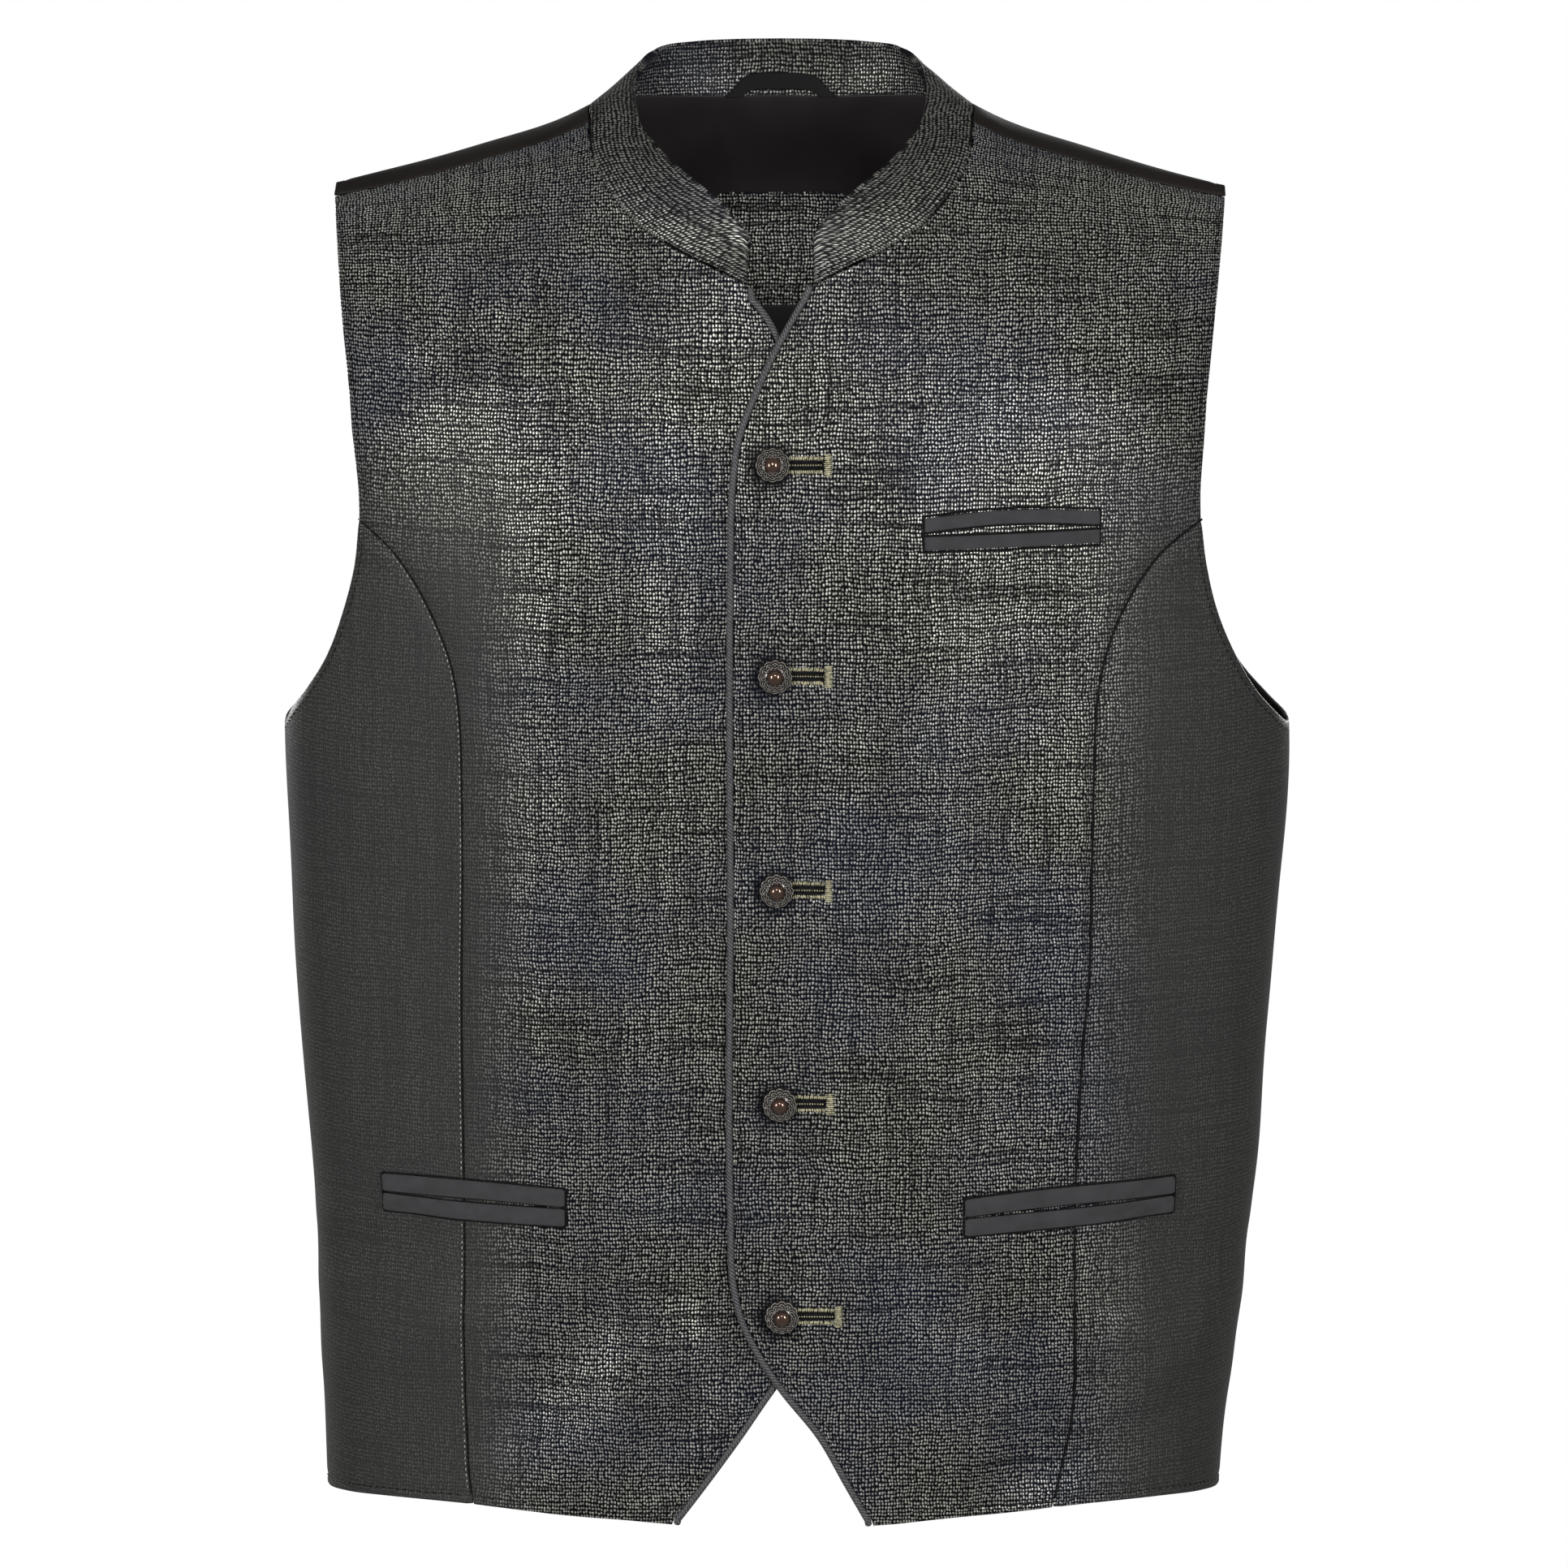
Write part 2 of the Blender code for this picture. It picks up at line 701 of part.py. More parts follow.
def wall_mesh(name, outside, inside, mirrored=False):
    """Closed wall between two grids of points in millimetres: both faces and the rim.

    Each four-cornered face is split along the diagonal from its first corner. In a piece that
    spans the midline the diagonals of the two halves mirror each other.
    """
    rows, columns = outside.shape[:2]
    number = np.arange(rows * columns).reshape(rows, columns)
    quads = np.stack((number[:-1, 1:], number[1:, 1:], number[1:, :-1], number[:-1, :-1]), -1)
    if mirrored:
        quads[:, :columns // 2] = np.roll(quads[:, :columns // 2], 1, axis=-1)
    quads = quads.reshape(-1, 4)
    rim = np.concatenate((number[0], number[1:, -1], number[-1, -2::-1], number[-2:0:-1, 0]))
    after = np.roll(rim, -1)
    far = rows * columns
    edge = np.stack((rim, after, after + far, rim + far), -1)
    faces = np.concatenate((quads, quads[:, (0, 3, 2, 1)] + far, edge))
    points = np.concatenate((outside.reshape(-1, 3), inside.reshape(-1, 3))) * MM
    mesh = bpy.data.meshes.new(name)
    mesh.from_pydata(points.tolist(), [], faces.tolist())
    shell = bmesh.new()
    shell.from_mesh(mesh)
    bmesh.ops.recalc_face_normals(shell, faces=shell.faces)
    shell.to_mesh(mesh)
    shell.free()
    mesh.shade_smooth()
    mesh.set_sharp_from_angle(angle=SHARP_ANGLE)
    return mesh


def material(name):
    """Plain finish of a sub-part."""
    colour, roughness, metallic = MATERIALS[name]
    made = bpy.data.materials.get(name) or bpy.data.materials.new(name)
    made.use_nodes = True
    shader = made.node_tree.nodes["Principled BSDF"]
    shader.inputs["Base Color"].default_value = colour
    shader.inputs["Roughness"].default_value = roughness
    shader.inputs["Metallic"].default_value = metallic
    made.diffuse_color = colour
    return made


def add_object(name, data, finish, collection):
    """An object for a mesh or a curve, with its own material."""
    data.materials.append(material(finish))
    made = bpy.data.objects.new(name, data)
    collection.objects.link(made)
    return made


def add_wall(name, surface, finish, collection, mirrored=False):
    """A cloth piece: surface gives its points at a distance outwards."""
    mesh = wall_mesh(name, seam_allowed(surface(0.0)), seam_allowed(surface(-CLOTH)), mirrored)
    return add_object(name, mesh, finish, collection)


def collar_base():
    """Neck seam round the whole collar, from the right front end to the left one."""
    halves = {}
    for side in (-1, 1):
        front = charted(along(neck_curve(side), NECK_ROWS + 1))
        front[-1] = shoulder_places(side, 2)[0]
        front = front_cloth(front, side)
        rear = cloth(back_neck(side), True)
        rear[0] = front[-1]
        halves[side] = joined(front, rear)
    return joined(halves[-1], halves[1][::-1])


def collar_top():
    """Top edge of the collar at the same steps as the neck seam."""
    points = np.stack([column(COLLAR_TOP, COLLAR_COLUMNS, axis) for axis in COLLAR_COLUMNS], -1)
    smooth = along(points, FINE_STEPS)
    turn = round(COLLAR_TURN_SHARE * (FINE_STEPS - 1))
    front = smooth[np.linspace(0, turn, NECK_ROWS + 1).astype(int)]
    rear = smooth[np.linspace(turn, FINE_STEPS - 1, BACK_NECK_STEPS // 2 + 1).astype(int)]
    half = joined(front, rear)
    return joined(half * (-1, 1, 1), half[::-1])


def collar_surface(heights, out=0.0):
    """Outside of the collar: a bulged band between the neck seam and the top edge."""
    base = collar_base()
    top = collar_top()
    rise = top - base
    base = base + rise / np.linalg.norm(rise, axis=1, keepdims=True) * COLLAR_SEAM_GAP
    heights = np.asarray(heights, float)[:, None, None]
    band = base[None] + (top - base)[None] * heights
    normal = np.cross(rise[None], np.gradient(band, axis=1))
    normal /= np.linalg.norm(normal, axis=-1, keepdims=True)
    return band + normal * (COLLAR_BULGE * 4 * heights * (1 - heights) + out)


def pocket_places(pocket, upward):
    """Turn and fall over one welt of a pocket, between the slit and the welt's far edge."""
    run = np.linspace(0, 1, WELT_STEPS + 1)[None, :]
    rise = np.linspace(0, 1, WELT_ROWS)[:, None]
    x = pocket["x_inner"] + (pocket["x_outer"] - pocket["x_inner"]) * run + 0 * rise
    z = pocket["z_inner"] + (pocket["z_outer"] - pocket["z_inner"]) * run
    bowed = pocket["bow"] * np.sin(math.pi * run) if upward > 0 else 0 * run
    return chart(x, z + upward * (pocket["gap"] + bowed + pocket["welt"] * rise))


def axes_at(point, normal):
    """Turning of a piece whose own Z axis points out of the cloth and whose X axis is level."""
    z_axis = Vector(normal).normalized()
    x_axis = Vector((0, 0, 1)).cross(z_axis).normalized()
    y_axis = z_axis.cross(x_axis)
    turned = Matrix((x_axis, y_axis, z_axis)).transposed().to_4x4()
    return Matrix.Translation(Vector(point) * MM) @ turned


def left_front_place(x, z):
    """Point on the outside of the left front, and the way out of the cloth there."""
    place = chart(np.array([float(x)]), np.array([float(z)]))
    return front_cloth(place, 1)[0], outward(place[:, 0], place[:, 1], False)[0]


def build_panels(collection):
    """Fronts, side pieces and back."""
    pieces = {}
    for name, side in (("right", -1), ("left", 1)):
        for kind, places in (("_front", front_places(name, side)),
                             ("_side_front", side_places(name, side))):
            def surface(out, places=places, side=side):
                return front_cloth(places, side, out)
            pieces[name + kind] = add_wall(name + kind, surface, "suiting", collection)
    places = evened(back_places())
    add_wall("back", lambda out: cloth(places, True, out), "back_satin", collection, True)
    return pieces


def build_buttonholes(left_front, cutters):
    """Slits in the left front that the buttons pass through."""
    for number, button in enumerate(rows_of(BUTTONS, BUTTON_COLUMNS), 1):
        start = button["x"] - HOLE_START
        width = button["hole_end"] - start
        middle, normal = left_front_place(start + width / 2, button["z"])
        bpy.ops.mesh.primitive_cube_add(size=1)
        cutter = bpy.context.object
        cutter.name = "slit_%d" % number
        size = Vector((width, HOLE_HEIGHT, HOLE_DEPTH)) * MM
        cutter.data.transform(Matrix.Diagonal((*size, 1)))
        cutter.matrix_world = axes_at(middle, normal)
        for collection in list(cutter.users_collection):
            collection.objects.unlink(cutter)
        cutters.objects.link(cutter)
        cutter.hide_render = True
        cutter.display_type = "WIRE"
        cut = left_front.modifiers.new(cutter.name, "BOOLEAN")
        cut.operation = "DIFFERENCE"
        cut.object = cutter


def build_collar(collection):
    """Stand collar, a ring open at the front."""
    heights = np.linspace(0, 1, COLLAR_ROWS)
    outside = collar_surface(heights)
    inside = collar_surface(heights, -COLLAR_CLOTH)
    add_object("collar", wall_mesh("collar", outside, inside, True), "suiting", collection)


def build_hanger_loop(collection):
    """Flat tape loop on the inside of the collar, at the middle of the back."""
    sides = {}
    for edge in ("outer", "inner"):
        half = np.stack((column(LOOP, LOOP_COLUMNS, edge + "_side"),
                         column(LOOP, LOOP_COLUMNS, edge + "_rise")), axis=1)
        sides[edge] = joined(half * (-1, 1), half[::-1])
    heights = np.linspace(0, 1, COLLAR_ROWS)
    faces = []
    for depth in (LAY_GAP, LAY_GAP + TAPE_CLOTH):
        band = collar_surface(heights, -COLLAR_CLOTH - depth)
        middle = band.shape[1] // 2
        band = band[:, middle - 2:middle + 3]
        rows = []
        for side, rise in (sides["outer"].T, sides["inner"].T):
            line = np.stack([np.stack([np.interp(side, row[:, 0], row[:, axis])
                                       for axis in range(3)], -1) for row in band])
            share = rise / (line[-1, :, 2] - line[0, :, 2]) * (len(heights) - 1)
            low = np.floor(share).astype(int)
            part = (share - low)[:, None]
            index = np.arange(len(side))
            rows.append(line[low, index] * (1 - part) + line[low + 1, index] * part)
        faces.append(np.stack(rows))
    mesh = wall_mesh("hanger_loop", faces[0], faces[1])
    add_object("hanger_loop", mesh, "tape", collection)


def inside_back(places, depth):
    """Points at a depth inside the back's own faces, read between its rows and columns."""
    whole = evened(back_places())
    inner = cloth(whole, True, -CLOTH)
    steps = np.arange(len(whole))
    points = np.empty(places.shape[:-1] + (3,))
    for index in np.ndindex(places.shape[:-1]):
        turn, fall = places[index]
        rows = np.array([np.interp(-fall, -line, steps) for line in whole[:, :, 1].T])
        low = np.minimum(rows.astype(int), len(whole) - 2)
        part = (rows - low)[:, None]
        columns = np.arange(whole.shape[1])
        turns = whole[low, columns, 0] * (1 - part[:, 0]) + whole[low + 1, columns, 0] * part[:, 0]
        line = inner[low, columns] * (1 - part) + inner[low + 1, columns] * part
        points[index] = [np.interp(turn, turns, line[:, axis]) for axis in range(3)]
    return points - outward(places[..., 0], places[..., 1], True) * depth


def build_back_inside(collection):
    """Lining behind the neck, the patch of suiting on it, and the size label."""
    skipped = SHOULDER_STEPS + 1
    places = back_places()[-LINING_ROWS:, skipped:-skipped]
    top = np.maximum(places[-1, :, 1] + LINING_NECK_INSET, LINING_TOP_FALL)
    foot = places[0, :, 1]
    share = (places[..., 1] - foot) / (places[-1, :, 1] - foot)
    places = np.stack((places[..., 0], foot + (top - foot) * share), axis=-1)
    depth = LINING_LIFT
    mesh = wall_mesh("back_lining", inside_back(places, depth),
                     inside_back(places, depth + LINING_CLOTH), True)
    add_object("back_lining", mesh, "lining", collection)
    depth += LINING_CLOTH + PATCH_LIFT
    x = PATCH_HALF_WIDTH * np.sin(np.linspace(-math.pi / 2, math.pi / 2, PATCH_STEPS + 1))
    past = np.maximum(np.abs(x) - PATCH_HALF_WIDTH + PATCH_CORNER, 0)
    top = PATCH_TOP - PATCH_CORNER + np.sqrt(PATCH_CORNER ** 2 - past ** 2)
    rows = np.linspace(0, 1, PATCH_ROWS)[:, None]
    patch_places = chart(x + 0 * rows, PATCH_FOOT + (top - PATCH_FOOT) * rows)
    mesh = wall_mesh("neck_patch", inside_back(patch_places, depth),
                     inside_back(patch_places, depth + PATCH_CLOTH))
    add_object("neck_patch", mesh, "suiting", collection)
    x = np.linspace(-LABEL_HALF_WIDTH, LABEL_HALF_WIDTH, LABEL_ROWS)
    rows = np.linspace(LABEL_FOOT, PATCH_FOOT - SEAM_GAP, LABEL_ROWS)[:, None]
    label_places = chart(x + 0 * rows, rows + 0 * x)
    mesh = wall_mesh("size_label", inside_back(label_places, depth),
                     inside_back(label_places, depth + LABEL_CLOTH))
    add_object("size_label", mesh, "tape", collection)


def build_piping(collection):
    """Corded piping along both front edges, beside the cloth and centred in its thickness."""
    count = PRINCESS_ROWS + ARMHOLE_ROWS - NECK_ROWS + 1
    for name, side in (("right", -1), ("left", 1)):
        places = front_places(name, side)
        outside = seam_allowed(front_cloth(places, side))[:count, :2]
        inside = seam_allowed(front_cloth(places, side, -CLOTH))[:count, :2]
        middle = (outside + inside) / 2
        edge = middle[:, 0]
        way = np.gradient(edge, axis=0)
        way /= np.linalg.norm(way, axis=1, keepdims=True)
        away = edge - middle[:, 1]
        away -= way * np.sum(away * way, axis=1, keepdims=True)
        away /= np.linalg.norm(away, axis=1, keepdims=True)
        route = edge + away * (LAY_GAP + PIPING_WIDTH / 2)
        route[-1] -= way[-1] * PIPING_END_TRIM
        curve = bpy.data.curves.new(name + "_edge_piping", "CURVE")
        curve.dimensions = "3D"
        curve.bevel_depth = PIPING_WIDTH / 2 * MM
        curve.bevel_resolution = PIPING_RESOLUTION
        curve.use_fill_caps = True
        spline = curve.splines.new("POLY")
        spline.points.add(count - 1)
        for point, place in zip(spline.points, route * MM):
            point.co = (*place, 1)
        add_object(name + "_edge_piping", curve, "piping", collection)


def build_welts(collection):
    """Two flat welts for each pocket, made from the fronts' points moved out."""
    for pocket in rows_of(POCKETS, POCKET_COLUMNS):
        side = math.copysign(1, pocket["x_inner"])
        for kind, upward in (("_upper_welt", 1), ("_lower_welt", -1)):
            places = pocket_places(pocket, upward)
            name = pocket["name"] + kind
            mesh = wall_mesh(name, front_cloth(places, side, WELT_LIFT + WELT_CLOTH),
                             front_cloth(places, side, WELT_LIFT))
            add_object(name, mesh, "welt", collection)


def build_buttons(collection):
    """Turned metal buttons, each with its shank through the left front."""
    for number, button in enumerate(rows_of(BUTTONS, BUTTON_COLUMNS), 1):
        name = "button_%d" % number
        mesh = bpy.data.meshes.new(name)
        outline = [(point["radius"] * MM, 0, point["height"] * MM)
                   for point in rows_of(BUTTON_PROFILE, BUTTON_PROFILE_COLUMNS)]
        edges = [(index, index + 1) for index in range(len(outline) - 1)]
        mesh.from_pydata(outline, edges, [])
        made = add_object(name, mesh, "antique_metal", collection)
        turned = made.modifiers.new("turned", "SCREW")
        turned.steps = BUTTON_STEPS
        turned.render_steps = BUTTON_STEPS
        turned.use_merge_vertices = True
        turned.merge_threshold = MERGE_DISTANCE
        turned.use_smooth_shade = True
        point, normal = left_front_place(button["x"], button["z"])
        made.matrix_world = axes_at(point, normal)


def main():
    for old in list(bpy.data.objects):
        bpy.data.objects.remove(old, do_unlink=True)
    collection = bpy.data.collections.new("gilet")
    cutters = bpy.data.collections.new("gilet_cutters")
    bpy.context.scene.collection.children.link(collection)
    bpy.context.scene.collection.children.link(cutters)
    pieces = build_panels(collection)
    build_buttonholes(pieces["left_front"], cutters)
    build_back_inside(collection)
    build_collar(collection)
    build_hanger_loop(collection)
    build_piping(collection)
    build_welts(collection)
    build_buttons(collection)


main()
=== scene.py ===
"""A boys' stand-collar gilet of slub suiting with a black satin back, filled out and open below.

Sizes are in millimetres and become metres where a mesh is made. +Z is up, the front faces -Y
and the wearer's left is +X. The pieces follow the garment in the order it is put together.
"""
import math

import bpy
import numpy as np
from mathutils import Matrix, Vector


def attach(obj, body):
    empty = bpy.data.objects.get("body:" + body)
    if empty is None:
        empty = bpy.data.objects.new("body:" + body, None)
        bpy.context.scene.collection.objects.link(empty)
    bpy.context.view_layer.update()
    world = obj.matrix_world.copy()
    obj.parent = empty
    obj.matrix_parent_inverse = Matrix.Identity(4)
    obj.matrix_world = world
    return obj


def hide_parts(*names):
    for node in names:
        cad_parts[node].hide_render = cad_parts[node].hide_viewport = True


MM = 0.001
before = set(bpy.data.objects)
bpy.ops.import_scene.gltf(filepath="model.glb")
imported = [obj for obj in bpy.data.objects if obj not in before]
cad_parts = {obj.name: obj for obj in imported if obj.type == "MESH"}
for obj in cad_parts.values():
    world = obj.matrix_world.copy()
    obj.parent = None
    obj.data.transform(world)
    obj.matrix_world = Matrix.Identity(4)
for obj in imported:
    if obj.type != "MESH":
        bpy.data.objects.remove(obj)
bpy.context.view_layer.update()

# The camera looks level across the garment from a little above its middle, from far off, as for
# a catalogue picture. One pixel of the 1932-pixel frame is 0.305 mm at the shoulders.
CAMERA_RISE = math.radians(11.0)
CAMERA_AWAY = 6.0
PIXEL = 0.305 * MM
FRAME_PIXELS = 1932
SENSOR = 36.0
target = Vector((0.00122, 0.0, -0.25975))
camera_data = bpy.data.cameras.new("camera")
camera_data.sensor_width = SENSOR
camera_data.lens = SENSOR * CAMERA_AWAY / (FRAME_PIXELS * PIXEL)
camera_data.clip_end = 100.0
camera = bpy.data.objects.new("camera", camera_data)
away = Vector((0.0, -math.cos(CAMERA_RISE), math.sin(CAMERA_RISE)))
camera.location = target + away * CAMERA_AWAY
camera.rotation_euler = (math.pi / 2 - CAMERA_RISE, 0.0, 0.0)
bpy.context.collection.objects.link(camera)
bpy.context.scene.camera = camera

# Studio light: two tall softboxes, left and right of the camera, which draw the two soft bright
# bands down the fronts, a small lamp higher up, and a narrow spot that reaches into the neck.
# Two more softboxes stand behind, for the back. The room is dimmer than the white that shows.
LAMPS = {
    "left_lamp": ((-1.52, -1.98, 0.12), 0.42, 1.0, 18.8),
    "right_lamp": ((1.30, -2.05, 0.22), 0.42, 1.0, 17.0),
    "high_lamp": ((0.0, -2.3, 0.80), 0.5, 0.5, 6.0),
    "back_left_lamp": ((-1.5, 2.0, 0.10), 0.7, 1.3, 38.0),
    "back_right_lamp": ((1.1, 2.2, 0.20), 0.7, 1.3, 28.0),
}
NECK_SPOT = (0.0, -0.90, 0.24)
NECK_SPOT_AIM = (0.0, 0.06, -0.064)
NECK_SPOT_CONE = math.radians(3.5)
NECK_SPOT_WATTS = 28.0
NECK_SPOT_RADIUS = 0.02
NECK_SPOT_BLEND = 0.6
ROOM_LIGHT = 0.20
for name, (place, width, height, watts) in LAMPS.items():
    lamp_data = bpy.data.lights.new(name, "AREA")
    lamp_data.shape = "ELLIPSE"
    lamp_data.size = width
    lamp_data.size_y = height
    lamp_data.energy = watts
    lamp = bpy.data.objects.new(name, lamp_data)
    lamp.location = place
    lamp.rotation_euler = (target - Vector(place)).to_track_quat("-Z", "Y").to_euler()
    lamp.visible_camera = False
    bpy.context.collection.objects.link(lamp)
spot_data = bpy.data.lights.new("neck_spot", "SPOT")
spot_data.spot_size = NECK_SPOT_CONE
spot_data.spot_blend = NECK_SPOT_BLEND
spot_data.shadow_soft_size = NECK_SPOT_RADIUS
spot_data.energy = NECK_SPOT_WATTS
spot = bpy.data.objects.new("neck_spot", spot_data)
spot.location = NECK_SPOT
aim = Vector(NECK_SPOT_AIM) - Vector(NECK_SPOT)
spot.rotation_euler = aim.to_track_quat("-Z", "Y").to_euler()
bpy.context.collection.objects.link(spot)
world = bpy.data.worlds.new("studio")
world.use_nodes = True
nodes = world.node_tree.nodes
room = nodes["Background"]
room.inputs["Strength"].default_value = ROOM_LIGHT
shown = nodes.new("ShaderNodeBackground")
seen = nodes.new("ShaderNodeMixShader")
links = world.node_tree.links
for background in (room, shown):
    background.inputs["Color"].default_value = (1.0, 1.0, 1.0, 1.0)
links.new(nodes.new("ShaderNodeLightPath").outputs["Is Camera Ray"], seen.inputs[0])
links.new(room.outputs[0], seen.inputs[1])
links.new(shown.outputs[0], seen.inputs[2])
links.new(seen.outputs[0], nodes["World Output"].inputs["Surface"])
bpy.context.scene.world = world
bpy.context.scene.view_settings.view_transform = "Standard"

# Fronts: two panels of slub suiting, each with its side piece, cut to a curved seam from the
# armhole to the hem. Each panel is cloth, interlining and lining turned in at its edges.
CLOTH = 1.8
SEAM_GAP = -0.1
EDGE_ROUND = 0.6
PIPING_WIDTH = 2.6
LAY_GAP = 0.35
SHOULDER_ROLL = 90.0
SECTION_POWER = 2.3
SEAM_FALL = -27.0
SHOULDER_TIP = 166.6
NECK_POINT = 71.5
ARMHOLE_CREST = 12.0
UNDERLAP_SINK = 3.0
UNDERLAP_START = 34.0
UNDERLAP_FULL = 6.0
TURN_SCALE = (120, 1)
EVENING_ROUNDS = 120


def table(names, *rows):
    """A short table as one array for each named column."""
    return dict(zip(names, np.array(rows, float).T))


SECTION = table(
    ("z", "right", "left", "front", "back"),
    (40, 140, 140, 36, 70), (0, 162, 162, 42, 71), (-33, 168.5, 168.5, 47, 72),
    (-60, 171, 171, 54, 74), (-100, 175.5, 176, 66, 78), (-150, 181, 182, 75, 79),
    (-190, 184.5, 187, 78, 76), (-235, 186.5, 191, 79, 72), (-300, 184, 187.5, 78.5, 66),
    (-350, 181, 183, 78, 64), (-400, 177, 179.5, 77.3, 66), (-450, 174.5, 174, 76.3, 70),
    (-490, 172.5, 169.5, 75.6, 74), (-528, 171, 166, 75.4, 77), (-545, 171, 165, 75.4, 78))
SHOULDER = table(
    ("x", "z"),
    (-25, 14.5), (0, 17), (25, 14.5), (50, 7.5), (66, 0.5), (81, -6.7), (113, -17.2),
    (142, -25.7), (168, -32), (200, -38))
EDGE = table(
    ("z", "left", "right"),
    (-528, 31.8, -38), (-513, 23.4, -26.9), (-496, 14, -14.8), (-476.5, -1.2, -1.2),
    (-465, -8.8, 7), (-450, -16.1, 14.8), (-435, -19.4, 18.2), (-410, -20.3, 19.3),
    (-290, -20.3, 19.3), (-164, -20.2, 19.2), (-134, -19.5, 18.4), (-116, -17.1, 15.8),
    (-100, -11.1, 10), (-87, -5.1, 4.2), (-71, 3.9, -4.2), (-61, 9.9, -12.6))
FRONT_NECK = table(
    ("x", "z"),
    (12.5, -61), (24.5, -55.5), (38.5, -49), (54, -39.5), (66, -26), (71, -14), (71.5, -6.3))
FRONT_ARMHOLE = table(
    ("z", "right", "left"),
    (-151, 157.4, 156.9), (-142, 157.6, 156.7), (-124, 159.3, 157.8), (-100, 161.5, 160),
    (-78, 163.8, 162.4), (-50, 165.6, 165.4), (-36, 166.5, 166.5))
ARMHOLE_FOOT = table(
    ("z", "right", "left"),
    (-151, 157.4, 156.9), (-168, 158.9, 158.9), (-186, 163.3, 163), (-204, 170, 170.4),
    (-217.5, 177.6, 178), (-227.5, 183.7, 185.6), (-234.6, 186.5, 191))
PRINCESS = table(
    ("z", "right", "left"),
    (-523.5, 115.8, 102.5), (-510, 117.4, 105.8), (-495, 118, 109), (-450, 118.3, 110),
    (-400, 118.5, 110.4), (-350, 119, 113), (-319, 119, 115.2), (-281, 118.6, 115.9),
    (-251, 118.7, 116.3), (-228, 118.9, 116.9), (-214, 120, 117.9), (-200, 122.8, 120.6),
    (-187, 128, 125), (-174, 135, 132), (-162, 144, 141.5), (-151, 157.4, 156.9))
HEM = table(
    ("turn", "z"),
    (0, -529), (10, -528.3), (17, -526.8), (26, -525.5), (40, -523.6), (56, -524), (72, -526),
    (90, -528), (105, -525.5), (130, -515), (155, -507.5), (180, -505))
FOLD_NAMES = ("x", "z", "lean", "length", "spread", "height")
FRONT_FOLDS = table(
    FOLD_NAMES,
    (-80, -265, 92, 350, 29, 4.4), (-32, -290, 88, 320, 22, -2.2), (46, -265, 89, 320, 26, 4.4),
    (94, -300, 92, 220, 22, -1.6), (10, -300, 90, 300, 14, -1.4), (-62, -52, 60, 46, 9, -1.4),
    (-148, -426, 38, 44, 11, -3.0), (146, -428, -40, 46, 12, -3.0), (140, -474, 42, 84, 14, 2.6),
    (104, -506, 24, 90, 12, -2.2), (-58, -486, 56, 78, 15, 2.6), (-86, -472, 58, 80, 13, -2.4),
    (62, -480, -62, 70, 16, 2.2), (88, -470, -60, 70, 12, -1.8), (-30, -478, 50, 60, 9, -1.4),
    (-140, -300, 80, 150, 18, -1.4), (146, -330, 99, 160, 18, -1.4),
    (-138, -462, 34, 70, 13, 2.2), (140, -466, -36, 70, 13, 2.0))
FRONT_CREASES = table(
    FOLD_NAMES,
    (-70, -60, 66, 40, 4.5, 0.7), (-84, -66, 60, 52, 5, -0.7), (-98, -58, 52, 44, 6, 0.5),
    (84, -58, -56, 46, 5, -0.6), (98, -66, -50, 50, 6, 0.5), (-128, -92, 28, 60, 7, -0.6),
    (-140, -110, 24, 50, 6, 0.5), (136, -96, -26, 56, 7, -0.6), (-44, -112, -22, 60, 8, 0.5),
    (40, -104, 18, 66, 9, -0.5), (-60, -150, 6, 90, 9, 0.4), (70, -176, -8, 80, 9, -0.5),
    (-30, -212, -14, 44, 6, -0.4), (24, -222, 16, 46, 6, -0.5), (28, -300, -12, 50, 7, 0.4),
    (26, -382, 14, 52, 7, -0.4), (24, -436, 30, 40, 6, 0.5), (-34, -440, -30, 44, 7, -0.5),
    (-150, -438, 30, 50, 6, 0.8), (-160, -408, 50, 40, 5, 0.7), (-146, -402, 34, 36, 5, -0.7),
    (-132, -446, 18, 52, 7, -0.6), (146, -440, -30, 48, 6, 0.8), (160, -410, -46, 40, 5, 0.7),
    (132, -448, -20, 48, 7, -0.6), (120, -462, 30, 60, 7, 0.8), (112, -486, 34, 60, 6, -0.7),
    (-96, -498, 52, 50, 7, 0.7), (-112, -470, 60, 46, 7, 0.5), (-40, -500, 46, 44, 7, -0.6),
    (84, -502, -50, 46, 7, -0.6), (44, -492, -48, 40, 6, 0.6), (-130, -250, 66, 90, 9, 0.5),
    (132, -250, -66, 90, 9, 0.5), (-126, -360, 84, 100, 9, -0.5), (128, -360, 96, 90, 9, 0.5),
    (-100, -190, 58, 70, 8, -0.5), (104, -194, -60, 66, 8, -0.5))
RIPPLES = ((0.031, 0.011, 0.4, 0.30), (-0.013, 0.043, 1.9, 0.24), (0.067, -0.029, 4.1, 0.14),
           (0.023, 0.091, 2.7, 0.12), (-0.089, 0.051, 0.9, 0.07), (0.121, 0.107, 3.3, 0.05))


def hermite(keys, values, at):
    """Smooth curve through values: each stretch is a cubic whose end slopes are averaged."""
    slopes = np.gradient(values, keys, axis=0)
    at = np.clip(at, keys[0], keys[-1])
    index = np.clip(np.searchsorted(keys, at, side="right") - 1, 0, len(keys) - 2)
    step = keys[index + 1] - keys[index]
    part = (at - keys[index]) / step
    if values.ndim > 1:
        step = step[:, None]
        part = part[:, None]
    start = (1 + 2 * part) * (1 - part) ** 2
    leave = part * (1 - part) ** 2 * step
    end = part ** 2 * (3 - 2 * part)
    arrive = part ** 2 * (part - 1) * step
    return (start * values[index] + leave * slopes[index]
            + end * values[index + 1] + arrive * slopes[index + 1])


